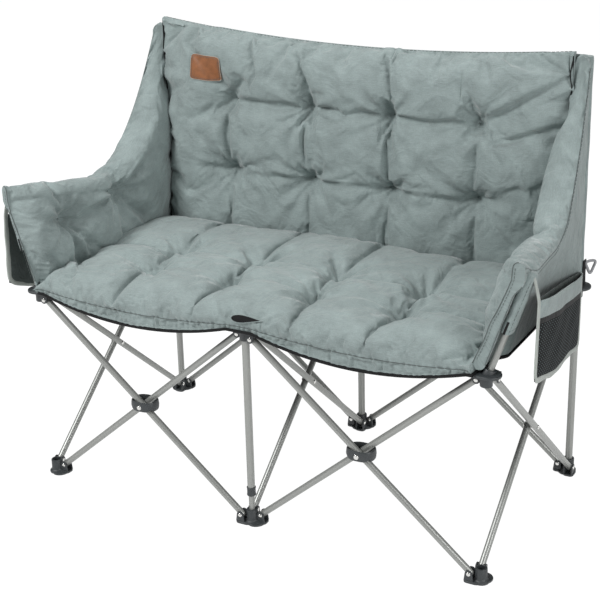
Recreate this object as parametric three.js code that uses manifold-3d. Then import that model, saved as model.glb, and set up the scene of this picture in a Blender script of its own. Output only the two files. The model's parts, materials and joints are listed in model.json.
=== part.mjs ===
// Folding two-seat camping chair with scissor legs, a padded cover and side pockets.
// Millimetres, +Z up, front towards -Y. The origin is on the floor below the middle of the seat.
import * as THREE from 'three';
import { mergeVertices } from 'three/addons/utils/BufferGeometryUtils.js';
import Module from 'manifold-3d';

const wasm = await Module();
wasm.setup();

// Layout of the six posts
const BAY_WIDTH = 520;
const BAY_DEPTH = 520;
const FOOT_PIVOT_HEIGHT = 20;
const PIVOT_RISE = 408;
const PIVOT_OFFSET = 20;

// Clearances and overruns
const RUNNING_GAP = 0.3;
const SLIDING_GAP = 0.5;
const CUT_OVERRUN = 4;
const WELD_DEPTH = 1;

// Scissor tubes, pivot pins and cheeks
const TUBE_RADIUS = 7;
const TUBE_WALL = 1.2;
const TUBE_PLUG = 14;
const CROSSING_GAP = 2;
const PIN_RADIUS = 2.5;
const PIN_HEAD_RADIUS = 4.6;
const PIN_HEAD_HEIGHT = 1.6;
const CHEEK_WALL = 3;
const CHEEK_RADIUS = 8;
const PLANE_OFFSET = TUBE_RADIUS + CROSSING_GAP / 2;

// Feet and hubs
const PLATE_RIM = 1.5;
const FOOT_PLATE = 5;
const FOOT_CHAMFER = 2;
const SOCKET_RADIUS = 12.2;
const FOOT_SOCKET_TOP = 32;
const EMPTY_SOCKET_BORE = 8.4;
const HUB_PLATE_RISE = 12;
const HUB_PLATE = 6;
const HUB_CORE_DROP = 16;
const HUB_NECK = 22;
const PLATE_RADIUS = PIVOT_OFFSET + CHEEK_RADIUS + PLATE_RIM;
const HUB_PIVOT_HEIGHT = FOOT_PIVOT_HEIGHT + PIVOT_RISE;
const HUB_TOP = HUB_PIVOT_HEIGHT + HUB_PLATE_RISE + HUB_PLATE;

// Posts, whose tops are set by their rise above the hubs
const REAR_POST_RISE = 492;
const REAR_CENTRE_POST_RISE = 222;
const ROD_CLEARANCE = 101;
const ARM_POST_RISE = 194;
const POST_RADIUS = 8;
const POST_WALL = 1.2;
const REAR_POST_TOP = HUB_TOP + REAR_POST_RISE;
const REAR_CENTRE_POST_TOP = HUB_TOP + REAR_CENTRE_POST_RISE;
const ROD_RADIUS = 6.3;
const ROD_WALL = 1.2;
const ROD_TOP = HUB_TOP - ROD_CLEARANCE;
const COLLAR_BOTTOM = 65;
const COLLAR_HEIGHT = 20;
const COLLAR_LIP = 4;
const COLLAR_WALL = 1.4;
const ARM_POST_RADIUS = 7;
const ARM_POST_TOP = HUB_TOP + ARM_POST_RISE;
const ARM_FLARE = 72;
const ARM_SETBACK = 14;

// Plastic clips that hold each front and rear crossing
const CLIP_HALF_WIDTH = 31.5;
const CLIP_HALF_DEPTH = 24.5;
const CLIP_HEIGHT = 23;
const CLIP_WALL = 2.5;
const CLIP_BOSS_RADIUS = 6;

// Seat
const SHEET = 2.5;
const SEAT_SIDE_GAP = 23.8;
const SEAT_REAR_GAP = 78;
const SEAT_HALF_WIDTH = BAY_WIDTH - SOCKET_RADIUS - SEAT_SIDE_GAP;
const SEAT_REAR_EDGE = BAY_DEPTH / 2 - SEAT_REAR_GAP;
const SEAT_THICKNESS = 52;
const SEAT_FRONT_LIP = 12;
const SLING_SAG = 34;
const SLING_SIDE_GAP = 3.8;
const SLING_REAR_GAP = 14;
const SLING_HALF_WIDTH = BAY_WIDTH - SOCKET_RADIUS - SLING_SIDE_GAP;
const SLING_REAR_EDGE = BAY_DEPTH / 2 - SLING_REAR_GAP;
const TUFT_PITCH = 200;
const TUFT_COLUMN_SHARES = [-1.5, -0.5, 0.5, 1.5];
const TUFT_RADIUS = 42;
const SEAT_TUFT_DEPTH = 26;
const SEAT_TUFT_ROW_SHARES = [0.3, 0.52];
const CHANNEL_RADIUS = 16;
const CHANNEL_DEPTH = 7;

// Back
const BACK_SIDE_GAP = 33;
const BACK_LIFT = 6;
const BACK_RISE = 502;
const BACK_HALF_WIDTH = BAY_WIDTH - BACK_SIDE_GAP;
const BACK_BOTTOM = HUB_TOP + BACK_LIFT;
const BACK_TOP_CORNER = HUB_TOP + BACK_RISE;
const BACK_TOP_DIP = 22;
const BACK_THICKNESS = 58;
const BACK_EDGE_THICKNESS = 16;
const BACK_TUFT_DEPTH = 30;
const BACK_TUFT_ROW_SHARES = [0.34, 0.67];
const PANEL_LIFT = 24;
const PANEL_BOTTOM = HUB_TOP + PANEL_LIFT;
const SLEEVE_WALL = 2;
const PATCH_WIDTH = 72;
const PATCH_HEIGHT = 56;
const PATCH_THICKNESS = 1.5;
const PATCH_ACROSS_SHARE = 0.0872;
const PATCH_UP_SHARE = 0.847;

// Arms
const ARM_SHELL_THICKNESS = 19;
const ARM_LIFT = 16;
const ARM_FRONT_OVERHANG = 12;
const ARM_REAR_GAP = 11;
const ARM_FRONT_RISE = 216;
const ARM_DIP_RISE = 194;
const ARM_REAR_RISE = 498;
const ARM_DIP_SHARE = 0.637;
const ARM_BOTTOM = HUB_TOP + ARM_LIFT;
const ARM_REAR_EDGE = BAY_DEPTH / 2 - ARM_REAR_GAP;
const ARM_FRONT_TOP = HUB_TOP + ARM_FRONT_RISE;
const ARM_DIP_TOP = HUB_TOP + ARM_DIP_RISE;
const ARM_REAR_TOP = HUB_TOP + ARM_REAR_RISE;
const ARM_PAD_BOTTOM_THICKNESS = 10;
const ARM_PAD_TOP_THICKNESS = 34;
const ARM_TUFT_DEPTH = 12;
const ARM_TUFT_SHARES = [{ alongShare: 0.29, upShare: 0.46 }, { alongShare: 0.64, upShare: 0.64 }];

// Side pockets
const POCKET_FRONT_GAP = 24;
const POCKET_REAR_GAP = 34;
const POCKET_FRONT = -BAY_DEPTH / 2 + POCKET_FRONT_GAP;
const POCKET_REAR = BAY_DEPTH / 2 - POCKET_REAR_GAP;
const POCKET_DEPTH = 26;
const POCKET_FRONT_HEM_RISE = 142;
const POCKET_REAR_HEM_RISE = 54;
const POCKET_FRONT_HEIGHT = 183;
const POCKET_REAR_HEIGHT = 175;
const POCKET_FRONT_HEM = HUB_TOP + POCKET_FRONT_HEM_RISE;
const POCKET_REAR_HEM = HUB_TOP + POCKET_REAR_HEM_RISE;
const POCKET_SPREAD = 3;

// Ring and webbing on the right rear hub
const WEBBING_WIDTH = 20;
const WEBBING_LENGTH = 56;
const RING_WIDTH = 24;
const RING_HEIGHT = 38;
const RING_BAR = 4;
const RING_THICKNESS = 3;
const RING_DROP = 26;

// Facet counts
const TUBE_SIDES = 10;
const CAP_STEPS = 2;
const PIN_SIDES = 6;
const HEAD_SIDES = 8;
const POST_SIDES = 12;
const PLATE_SIDES = 16;
const CLIP_SIDES = 20;
const CHEEK_STEPS = 2;
const SEAT_BAY_STEPS = 10;
const SEAT_ROWS = 6;
const BACK_COLUMNS = 24;
const BACK_ROWS = 10;
const ARM_COLUMNS = 12;
const ARM_ROWS = 6;

// Colours and finishes
const FINISHES = {
  steel: { color: 0x9a9c9d, roughness: 0.42, metalness: 0.8 },
  rivet: { color: 0xd5d6d6, roughness: 0.25, metalness: 0.95 },
  moulding: { color: 0x3a3d3e, roughness: 0.6, metalness: 0 },
  cloth: { color: 0x8f9996, roughness: 0.92, metalness: 0 },
  backing: { color: 0x16181a, roughness: 0.9, metalness: 0 },
  mesh: { color: 0x33393d, roughness: 0.85, metalness: 0 },
  leather: { color: 0xa8693c, roughness: 0.6, metalness: 0 },
  ring: { color: 0xa6a7ab, roughness: 0.5, metalness: 0 },
};

const group = new THREE.Group();

// Turns a closed geometry into a solid for joining and cutting.
function solidOf(geometry) {
  const bare = geometry.index ? geometry.clone() : geometry;
  for (const extra of ['normal', 'uv']) {
    bare.deleteAttribute(extra);
  }
  const merged = mergeVertices(bare);
  return new wasm.Manifold(new wasm.Mesh({
    numProp: 3,
    vertProperties: new Float32Array(merged.attributes.position.array),
    triVerts: new Uint32Array(merged.index.array),
  }));
}

function geometryOf(solid) {
  const mesh = solid.getMesh();
  const geometry = new THREE.BufferGeometry();
  geometry.setAttribute('position', new THREE.BufferAttribute(mesh.vertProperties, mesh.numProp));
  geometry.setIndex(new THREE.BufferAttribute(mesh.triVerts, 1));
  geometry.computeVertexNormals();
  return geometry;
}

function joined(geometries) {
  return geometries.map(solidOf).reduce((whole, piece) => whole.add(piece));
}

function cut(solid, cutters) {
  return cutters.map(solidOf).reduce((whole, cutter) => whole.subtract(cutter), solid);
}

// Adds a named mesh and returns it, so that its caller can place it.
function addMesh(name, geometry, finish) {
  const mesh = new THREE.Mesh(geometry, new THREE.MeshStandardMaterial(FINISHES[finish]));
  mesh.name = name;
  group.add(mesh);
  return mesh;
}

// A cylinder along +Z from one height to another.
function uprightCylinder(radius, bottom, top, sides) {
  const geometry = new THREE.CylinderGeometry(radius, radius, top - bottom, sides);
  geometry.rotateX(Math.PI / 2);
  geometry.translate(0, 0, (bottom + top) / 2);
  return geometry;
}

// A cylinder along Y, centred on the origin.
function crossCylinder(radius, length, sides) {
  return new THREE.CylinderGeometry(radius, radius, length, sides);
}

// A pipe along +Z with open ends, turned from its closed wall section.
function pipe(outer, inner, bottom, top, sides) {
  const section = [
    new THREE.Vector2(inner, bottom),
    new THREE.Vector2(outer, bottom),
    new THREE.Vector2(outer, top),
    new THREE.Vector2(inner, top),
    new THREE.Vector2(inner, bottom),
  ];
  return turned(section, sides);
}

// Turns a section of radius and height about Z.
function turned(section, sides) {
  const geometry = new THREE.LatheGeometry(section, sides);
  geometry.rotateX(Math.PI / 2);
  return geometry;
}

// A scissor tube from its lower pivot at the origin to its upper one at +Z, with round ends.
// Its ends are filled for the pivot pins, whose holes run along Y, and a third hole is at the middle.
function scissorTube(length) {
  const section = [];
  for (let step = 0; step <= CAP_STEPS; step += 1) {
    const turn = (step / CAP_STEPS) * (Math.PI / 2);
    section.push(new THREE.Vector2(TUBE_RADIUS * Math.sin(turn), -TUBE_RADIUS * Math.cos(turn)));
  }
  const upper = section.map((point) => new THREE.Vector2(point.x, length - point.y)).reverse();
  const body = solidOf(turned([...section, ...upper], TUBE_SIDES));
  const hollow = uprightCylinder(TUBE_RADIUS - TUBE_WALL, TUBE_PLUG, length - TUBE_PLUG, TUBE_SIDES);
  const holes = [0, length / 2, length].map((place) => {
    const hole = crossCylinder(PIN_RADIUS + RUNNING_GAP, 2 * (TUBE_RADIUS + CUT_OVERRUN), HEAD_SIDES);
    hole.translate(0, 0, place);
    return hole;
  });
  return geometryOf(cut(body, [hollow, ...holes]));
}

// Half of the space that a tube needs between two cheeks.
const SLOT_HALF = TUBE_RADIUS + RUNNING_GAP;

// A pair of cheeks with their pin, around a tube in the XZ plane whose pivot is the origin.
// The cheeks reach down to a plate at the given drop.
function cheekPair(drop) {
  const outline = new THREE.Shape();
  outline.moveTo(-CHEEK_RADIUS, -drop - WELD_DEPTH);
  outline.lineTo(CHEEK_RADIUS, -drop - WELD_DEPTH);
  outline.lineTo(CHEEK_RADIUS, 0);
  outline.absarc(0, 0, CHEEK_RADIUS, 0, Math.PI, false);
  const pieces = [];
  for (const side of [-1, 1]) {
    const cheek = new THREE.ExtrudeGeometry(outline, {
      depth: CHEEK_WALL,
      bevelEnabled: false,
      curveSegments: CHEEK_STEPS,
    });
    cheek.rotateX(Math.PI / 2);
    cheek.translate(0, CHEEK_WALL / 2 + side * (SLOT_HALF + CHEEK_WALL / 2), 0);
    const head = crossCylinder(PIN_HEAD_RADIUS, PIN_HEAD_HEIGHT + WELD_DEPTH, HEAD_SIDES);
    head.translate(0, side * (SLOT_HALF + CHEEK_WALL + (PIN_HEAD_HEIGHT - WELD_DEPTH) / 2), 0);
    pieces.push(cheek, head);
  }
  pieces.push(crossCylinder(PIN_RADIUS, 2 * (SLOT_HALF + WELD_DEPTH), PIN_SIDES));
  return pieces;
}

// The tube ends at each foot and hub: where each pivot is, seen from the post's axis.
// In every bay the tube that rises to the left runs in front of the one that rises to the right.
function tubeEnds(column, isRear, isHub) {
  const ends = [];
  if (column < 2) {
    ends.push({ x: PIVOT_OFFSET, y: isHub ? -PLANE_OFFSET : PLANE_OFFSET });
  }
  if (column > 0) {
    ends.push({ x: -PIVOT_OFFSET, y: isHub ? PLANE_OFFSET : -PLANE_OFFSET });
  }
  const towardsMiddle = isRear ? -1 : 1;
  ends.push({
    x: isRear === isHub ? -PLANE_OFFSET : PLANE_OFFSET,
    y: towardsMiddle * PIVOT_OFFSET,
    isSide: true,
  });
  return ends;
}

function knucklePieces(ends, drop, isHub) {
  return ends.flatMap((end) => cheekPair(drop).map((piece) => {
    if (isHub) {
      piece.rotateX(Math.PI);
    }
    if (end.isSide) {
      piece.rotateZ(Math.PI / 2);
    }
    piece.translate(end.x, end.y, 0);
    return piece;
  }));
}

// A foot, with its origin on the floor on the post's axis.
function foot(ends, bore) {
  const plate = turned([
    new THREE.Vector2(0, 0),
    new THREE.Vector2(PLATE_RADIUS - FOOT_CHAMFER, 0),
    new THREE.Vector2(PLATE_RADIUS, FOOT_CHAMFER),
    new THREE.Vector2(PLATE_RADIUS, FOOT_PLATE),
    new THREE.Vector2(0, FOOT_PLATE),
  ], PLATE_SIDES);
  const knuckles = knucklePieces(ends, FOOT_PIVOT_HEIGHT - FOOT_PLATE, false);
  knuckles.forEach((piece) => piece.translate(0, 0, FOOT_PIVOT_HEIGHT));
  const socket = uprightCylinder(SOCKET_RADIUS, FOOT_PLATE - WELD_DEPTH, FOOT_SOCKET_TOP, POST_SIDES);
  const hole = uprightCylinder(bore, FOOT_PLATE + WELD_DEPTH, FOOT_SOCKET_TOP + CUT_OVERRUN, POST_SIDES);
  return geometryOf(cut(joined([plate, socket, ...knuckles]), [hole]));
}

// A hub, with its origin at the height of its pivots on the post's axis.
function hub(ends, extraPieces, holes) {
  const plate = uprightCylinder(PLATE_RADIUS, HUB_PLATE_RISE, HUB_PLATE_RISE + HUB_PLATE, PLATE_SIDES);
  const core = uprightCylinder(SOCKET_RADIUS, -HUB_CORE_DROP, HUB_PLATE_RISE + WELD_DEPTH, POST_SIDES);
  const knuckles = knucklePieces(ends, HUB_PLATE_RISE, true);
  return geometryOf(cut(joined([plate, core, ...knuckles, ...extraPieces]), holes));
}

// Where a post stands, by column from the left and by row.
function postPlace(column, isRear) {
  return new THREE.Vector2((column - 1) * BAY_WIDTH, (isRear ? 1 : -1) * BAY_DEPTH / 2);
}

const COLUMN_NAMES = ['left', 'centre', 'right'];
const CORNER_COLUMNS = [0, 2];

// The arm post's axis in its hub's frame, leaning outward and slightly back.
function armPostLine(side) {
  const base = new THREE.Vector3(0, 0, HUB_PLATE_RISE - HUB_PLATE);
  const top = new THREE.Vector3(side * ARM_FLARE, ARM_SETBACK, ARM_POST_TOP - HUB_PIVOT_HEIGHT);
  return { base, direction: top.clone().sub(base).normalize(), length: top.distanceTo(base) };
}

// Turns a geometry from +Z to a line's direction and moves it to the line's base.
function alongLine(geometry, line) {
  const turn = new THREE.Quaternion().setFromUnitVectors(new THREE.Vector3(0, 0, 1), line.direction);
  geometry.applyQuaternion(turn);
  geometry.translate(line.base.x, line.base.y, line.base.z);
  return geometry;
}

// The rear feet hold posts, the front centre foot holds the rod and the front corner sockets are empty.
function footBore(column, isRear) {
  if (isRear) {
    return POST_RADIUS + RUNNING_GAP;
  }
  return column === 1 ? ROD_RADIUS + RUNNING_GAP : EMPTY_SOCKET_BORE;
}

function addFeetAndHubs() {
  for (const isRear of [false, true]) {
    for (const [column, columnName] of COLUMN_NAMES.entries()) {
      const place = postPlace(column, isRear);
      const name = `${isRear ? 'rear' : 'front'}_${columnName}`;
      const footShape = foot(tubeEnds(column, isRear, false), footBore(column, isRear));
      const footMesh = addMesh(`foot_${name}`, footShape, 'moulding');
      footMesh.position.set(place.x, place.y, 0);
      const hubMesh = addMesh(`hub_${name}`, hubGeometry(column, isRear), 'moulding');
      hubMesh.position.set(place.x, place.y, HUB_PIVOT_HEIGHT);
    }
  }
}

// Rear hubs slide on their posts, the front centre hub holds the upper tube, and corner hubs an arm post.
function hubGeometry(column, isRear) {
  const ends = tubeEnds(column, isRear, true);
  const bottom = -HUB_CORE_DROP - CUT_OVERRUN;
  if (isRear) {
    const bore = uprightCylinder(
      POST_RADIUS + SLIDING_GAP, bottom, HUB_PLATE_RISE + HUB_PLATE + CUT_OVERRUN, POST_SIDES);
    return hub(ends, [], [bore]);
  }
  if (column === 1) {
    return hub(ends, [], [uprightCylinder(POST_RADIUS + RUNNING_GAP, bottom, HUB_PLATE_RISE, POST_SIDES)]);
  }
  const line = armPostLine(column - 1);
  const neck = alongLine(uprightCylinder(SOCKET_RADIUS, 0, HUB_NECK, POST_SIDES), line);
  const hole = alongLine(
    uprightCylinder(ARM_POST_RADIUS + RUNNING_GAP, -RUNNING_GAP, HUB_NECK + CUT_OVERRUN, POST_SIDES), line);
  return hub(ends, [neck], [hole]);
}

// Each front or rear bay holds a tube that rises to the left and one that rises to the right.
function addBayTubes() {
  const span = BAY_WIDTH - 2 * PIVOT_OFFSET;
  const geometry = scissorTube(Math.hypot(span, PIVOT_RISE));
  for (const rowName of ['front', 'rear']) {
    for (const bay of [0, 1]) {
      const right = postPlace(bay + 1, rowName === 'rear');
      const left = postPlace(bay, rowName === 'rear');
      const bayName = bay === 0 ? 'left' : 'right';
      const outer = addMesh(`tube_${rowName}_${bayName}_a`, geometry.clone(), 'steel');
      outer.position.set(right.x - PIVOT_OFFSET, right.y - PLANE_OFFSET, FOOT_PIVOT_HEIGHT);
      outer.rotation.y = Math.atan2(-span, PIVOT_RISE);
      const inner = addMesh(`tube_${rowName}_${bayName}_b`, geometry.clone(), 'steel');
      inner.position.set(left.x + PIVOT_OFFSET, left.y + PLANE_OFFSET, FOOT_PIVOT_HEIGHT);
      inner.rotation.y = Math.atan2(span, PIVOT_RISE);
      const clipMesh = addMesh(`clip_${rowName}_${bayName}`, clip(), 'moulding');
      clipMesh.position.set((left.x + right.x) / 2, left.y, FOOT_PIVOT_HEIGHT + PIVOT_RISE / 2);
    }
  }
}

// Each side scissor holds one tube from the front hub to the rear foot and one the other way.
function addSideTubes() {
  const span = BAY_DEPTH - 2 * PIVOT_OFFSET;
  const geometry = scissorTube(Math.hypot(span, PIVOT_RISE));
  for (const [column, columnName] of COLUMN_NAMES.entries()) {
    const front = postPlace(column, false);
    const rear = postPlace(column, true);
    const down = addMesh(`tube_side_${columnName}_a`, geometry.clone(), 'steel');
    down.position.set(rear.x + PLANE_OFFSET, rear.y - PIVOT_OFFSET, FOOT_PIVOT_HEIGHT);
    down.rotation.set(Math.atan2(span, PIVOT_RISE), 0, Math.PI / 2);
    const up = addMesh(`tube_side_${columnName}_b`, geometry.clone(), 'steel');
    up.position.set(front.x - PLANE_OFFSET, front.y + PIVOT_OFFSET, FOOT_PIVOT_HEIGHT);
    up.rotation.set(-Math.atan2(span, PIVOT_RISE), 0, Math.PI / 2);
    const rivet = addMesh(`rivet_side_${columnName}`, sideRivet(), 'rivet');
    rivet.position.set(front.x, (front.y + rear.y) / 2, FOOT_PIVOT_HEIGHT + PIVOT_RISE / 2);
    rivet.rotation.y = Math.PI / 2;
  }
}

// An upright oval prism, centred on the origin.
function ovalPrism(halfWidth, halfDepth, height) {
  const prism = uprightCylinder(halfWidth, -height / 2, height / 2, CLIP_SIDES);
  prism.scale(1, halfDepth / halfWidth, 1);
  return prism;
}

// An oval ring around a crossing, whose pin runs between two bosses through both tubes.
function clip() {
  const ring = ovalPrism(CLIP_HALF_WIDTH, CLIP_HALF_DEPTH, CLIP_HEIGHT);
  const cutHeight = CLIP_HEIGHT + 2 * CUT_OVERRUN;
  const inside = ovalPrism(CLIP_HALF_WIDTH - CLIP_WALL, CLIP_HALF_DEPTH - CLIP_WALL, cutHeight);
  const bossInner = PLANE_OFFSET + SLOT_HALF;
  const bossOuter = CLIP_HALF_DEPTH - CLIP_WALL / 2;
  const pieces = [crossCylinder(PIN_RADIUS, 2 * bossInner + 2 * WELD_DEPTH, PIN_SIDES)];
  for (const side of [-1, 1]) {
    const boss = crossCylinder(CLIP_BOSS_RADIUS, bossOuter - bossInner, HEAD_SIDES);
    boss.translate(0, side * (bossInner + bossOuter) / 2, 0);
    pieces.push(boss);
  }
  return geometryOf(cut(solidOf(ring), [inside]).add(joined(pieces)));
}

// A rivet along Z with two heads and a washer between the tubes.
function sideRivet() {
  const washerHalf = CROSSING_GAP / 2 - RUNNING_GAP;
  const headInner = PLANE_OFFSET + SLOT_HALF;
  const headOuter = headInner + PIN_HEAD_HEIGHT;
  return turned([
    new THREE.Vector2(0, -headOuter),
    new THREE.Vector2(PIN_HEAD_RADIUS, -headOuter),
    new THREE.Vector2(PIN_HEAD_RADIUS, -headInner),
    new THREE.Vector2(PIN_RADIUS, -headInner),
    new THREE.Vector2(PIN_RADIUS, -washerHalf),
    new THREE.Vector2(PIN_HEAD_RADIUS, -washerHalf),
    new THREE.Vector2(PIN_HEAD_RADIUS, washerHalf),
    new THREE.Vector2(PIN_RADIUS, washerHalf),
    new THREE.Vector2(PIN_RADIUS, headInner),
    new THREE.Vector2(PIN_HEAD_RADIUS, headInner),
    new THREE.Vector2(PIN_HEAD_RADIUS, headOuter),
    new THREE.Vector2(0, headOuter),
  ], PIN_SIDES);
}

// The bottom of a post that stands in a foot's socket.
const POST_BOTTOM = FOOT_PLATE + WELD_DEPTH + RUNNING_GAP;

function addPosts() {
  for (const [column, columnName] of COLUMN_NAMES.entries()) {
    const place = postPlace(column, true);
    const top = column === 1 ? REAR_CENTRE_POST_TOP : REAR_POST_TOP;
    const shape = pipe(POST_RADIUS, POST_RADIUS - POST_WALL, POST_BOTTOM, top, POST_SIDES);
    addMesh(`post_rear_${columnName}`, shape, 'steel').position.set(place.x, place.y, 0);
  }
  const centre = postPlace(1, false);
  const upperBottom = COLLAR_BOTTOM + COLLAR_LIP + RUNNING_GAP;
  const upperTop = HUB_PIVOT_HEIGHT + HUB_PLATE_RISE - RUNNING_GAP;
  const upper = pipe(POST_RADIUS, POST_RADIUS - POST_WALL, upperBottom, upperTop, POST_SIDES);
  addMesh('post_front_centre_upper', upper, 'steel').position.set(centre.x, centre.y, 0);
  const rod = pipe(ROD_RADIUS, ROD_RADIUS - ROD_WALL, POST_BOTTOM, ROD_TOP, POST_SIDES);
  addMesh('post_front_centre_rod', rod, 'steel').position.set(centre.x, centre.y, 0);
  addMesh('post_front_centre_collar', collar(), 'moulding').position.set(centre.x, centre.y, 0);
  for (const column of CORNER_COLUMNS) {
    const hubPlace = postPlace(column, false);
    const line = armPostLine(column - 1);
    const shape = pipe(ARM_POST_RADIUS, ARM_POST_RADIUS - POST_WALL, 0, line.length, POST_SIDES);
    const mesh = addMesh(`arm_post_${COLUMN_NAMES[column]}`, alongLine(shape, line), 'steel');
    mesh.position.set(hubPlace.x, hubPlace.y, HUB_PIVOT_HEIGHT);
  }
}

// The collar wraps the upper tube's end, and its lip guides the rod.
function collar() {
  const seat = POST_RADIUS + RUNNING_GAP;
  const lip = ROD_RADIUS + SLIDING_GAP;
  const outer = seat + COLLAR_WALL;
  const lipTop = COLLAR_BOTTOM + COLLAR_LIP;
  const top = COLLAR_BOTTOM + COLLAR_HEIGHT;
  return turned([
    new THREE.Vector2(lip, COLLAR_BOTTOM),
    new THREE.Vector2(outer, COLLAR_BOTTOM),
    new THREE.Vector2(outer, top),
    new THREE.Vector2(seat, top),
    new THREE.Vector2(seat, lipTop),
    new THREE.Vector2(lip, lipTop),
    new THREE.Vector2(lip, COLLAR_BOTTOM),
  ], POST_SIDES);
}

// Evenly spaced values, with both ends.
function spaced(from, to, count) {
  return Array.from({ length: count + 1 }, (_, step) => mix(from, to, step / count));
}

// A closed sheet between two faces. Each face gives a point for a value across and a value along.
function closedSheet(acrossValues, alongValues, faceA, faceB) {
  const columns = acrossValues.length - 1;
  const rows = alongValues.length - 1;
  const positions = [];
  for (const face of [faceA, faceB]) {
    for (const along of alongValues) {
      for (const across of acrossValues) {
        positions.push(...face(across, along));
      }
    }
  }
  const perFace = (columns + 1) * (rows + 1);
  const at = (side, column, row) => side * perFace + row * (columns + 1) + column;
  const index = [];
  const quad = (a, b, c, d) => index.push(a, b, c, a, c, d);
  for (let row = 0; row < rows; row += 1) {
    for (let column = 0; column < columns; column += 1) {
      quad(at(0, column, row), at(0, column + 1, row), at(0, column + 1, row + 1), at(0, column, row + 1));
      quad(at(1, column, row), at(1, column, row + 1), at(1, column + 1, row + 1), at(1, column + 1, row));
    }
  }
  for (let column = 0; column < columns; column += 1) {
    quad(at(1, column, 0), at(1, column + 1, 0), at(0, column + 1, 0), at(0, column, 0));
    quad(at(0, column, rows), at(0, column + 1, rows), at(1, column + 1, rows), at(1, column, rows));
  }
  for (let row = 0; row < rows; row += 1) {
    quad(at(0, 0, row), at(0, 0, row + 1), at(1, 0, row + 1), at(1, 0, row));
    quad(at(1, columns, row), at(1, columns, row + 1), at(0, columns, row + 1), at(0, columns, row));
  }
  return facingOut(positions, index);
}

// Builds the geometry and turns its faces over if its volume comes out negative.
function facingOut(positions, index) {
  const corner = (n) => new THREE.Vector3(...positions.slice(3 * n, 3 * n + 3));
  let volume = 0;
  for (let n = 0; n < index.length; n += 3) {
    const [a, b, c] = [corner(index[n]), corner(index[n + 1]), corner(index[n + 2])];
    volume += a.dot(b.cross(c));
  }
  if (volume < 0) {
    index.reverse();
  }
  const geometry = new THREE.BufferGeometry();
  geometry.setAttribute('position', new THREE.Float32BufferAttribute(positions, 3));
  geometry.setIndex(index);
  geometry.computeVertexNormals();
  return geometry;
}

function mix(from, to, share) {
  return from + (to - from) * share;
}

// How deep the sewn tufts and the channels between them press a padded face at a place.
function tuftPress(across, along, columns, rows, depth) {
  let press = 0;
  for (const row of rows) {
    for (const column of columns) {
      const reach = Math.hypot(across - column, along - row) / TUFT_RADIUS;
      press = Math.max(press, depth * Math.exp(-reach * reach));
    }
    const off = (along - row) / CHANNEL_RADIUS;
    press = Math.max(press, CHANNEL_DEPTH * Math.exp(-off * off));
  }
  for (const column of columns) {
    const off = (across - column) / CHANNEL_RADIUS;
    press = Math.max(press, CHANNEL_DEPTH * Math.exp(-off * off));
  }
  return press;
}

// A pad is full in the middle and drawn in towards its edges, from 0 to 1 at each end.
function fullness(share) {
  const fromMiddle = Math.abs(2 * share - 1);
  return Math.sqrt(1 - fromMiddle ** 6);
}

const TUFT_COLUMNS = TUFT_COLUMN_SHARES.map((share) => share * TUFT_PITCH);

// Stations across the seat: the rims of the hub plates, even steps between them and both edges.
function seatStations(halfWidth) {
  const bay = spaced(PLATE_RADIUS, BAY_WIDTH - PLATE_RADIUS, SEAT_BAY_STEPS).filter((x) => x < halfWidth);
  const right = [...bay, halfWidth];
  return [...right.map((x) => -x).reverse(), ...right];
}

// The sling is flat over the hubs and sags between them.
function slingDrop(x) {
  const fromHub = Math.abs(x - BAY_WIDTH * Math.round(x / BAY_WIDTH));
  const free = Math.max(0, fromHub - PLATE_RADIUS) / (BAY_WIDTH / 2 - PLATE_RADIUS);
  return SLING_SAG * (1 - (1 - free) ** 2);
}

const SLING_UNDERSIDE = HUB_TOP + RUNNING_GAP;
const SEAT_UNDERSIDE = SLING_UNDERSIDE + SHEET + RUNNING_GAP;
const SEAT_FRONT_EDGE = -BAY_DEPTH / 2 - PLATE_RADIUS;
const SEAT_TUFT_ROWS = SEAT_TUFT_ROW_SHARES.map((share) => mix(SEAT_FRONT_EDGE, SEAT_REAR_EDGE, share));

function seatTop(x, y) {
  const widthShare = (x + SEAT_HALF_WIDTH) / (2 * SEAT_HALF_WIDTH);
  const depthShare = (y - SEAT_FRONT_EDGE) / (SEAT_REAR_EDGE - SEAT_FRONT_EDGE);
  const full = fullness(widthShare) * fullness(depthShare);
  const press = tuftPress(x, y, TUFT_COLUMNS, SEAT_TUFT_ROWS, SEAT_TUFT_DEPTH);
  const lift = mix(SEAT_FRONT_LIP, SEAT_THICKNESS, full);
  return SEAT_UNDERSIDE - slingDrop(x) * (1 - full) + lift - press * full;
}

function addSeat() {
  const seam = RUNNING_GAP / 2;
  const halves = [
    { name: 'front', from: SEAT_FRONT_EDGE, to: -seam, slingTo: -seam },
    { name: 'rear', from: seam, to: SEAT_REAR_EDGE, slingTo: SLING_REAR_EDGE },
  ];
  for (const half of halves) {
    const pad = closedSheet(
      seatStations(SEAT_HALF_WIDTH),
      spaced(half.from, half.to, SEAT_ROWS),
      (x, y) => [x, y, seatTop(x, y)],
      (x, y) => [x, y, SEAT_UNDERSIDE - slingDrop(x)],
    );
    addMesh(`seat_pad_${half.name}`, pad, 'cloth');
    const sling = closedSheet(
      seatStations(SLING_HALF_WIDTH),
      [half.from, half.slingTo],
      (x, y) => [x, y, SLING_UNDERSIDE + SHEET - slingDrop(x)],
      (x, y) => [x, y, SLING_UNDERSIDE - slingDrop(x)],
    );
    addMesh(`seat_sling_${half.name}`, sling, 'backing');
  }
}

// The back panel passes in front of the rear centre post and wraps the outer posts.
const PANEL_REAR = BAY_DEPTH / 2 - POST_RADIUS - RUNNING_GAP;
const PANEL_FRONT = PANEL_REAR - SHEET;
const BACK_REAR = PANEL_FRONT - RUNNING_GAP;
const BACK_TUFT_ROWS = BACK_TUFT_ROW_SHARES.map((share) => mix(BACK_BOTTOM, BACK_TOP_CORNER, share));

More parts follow.
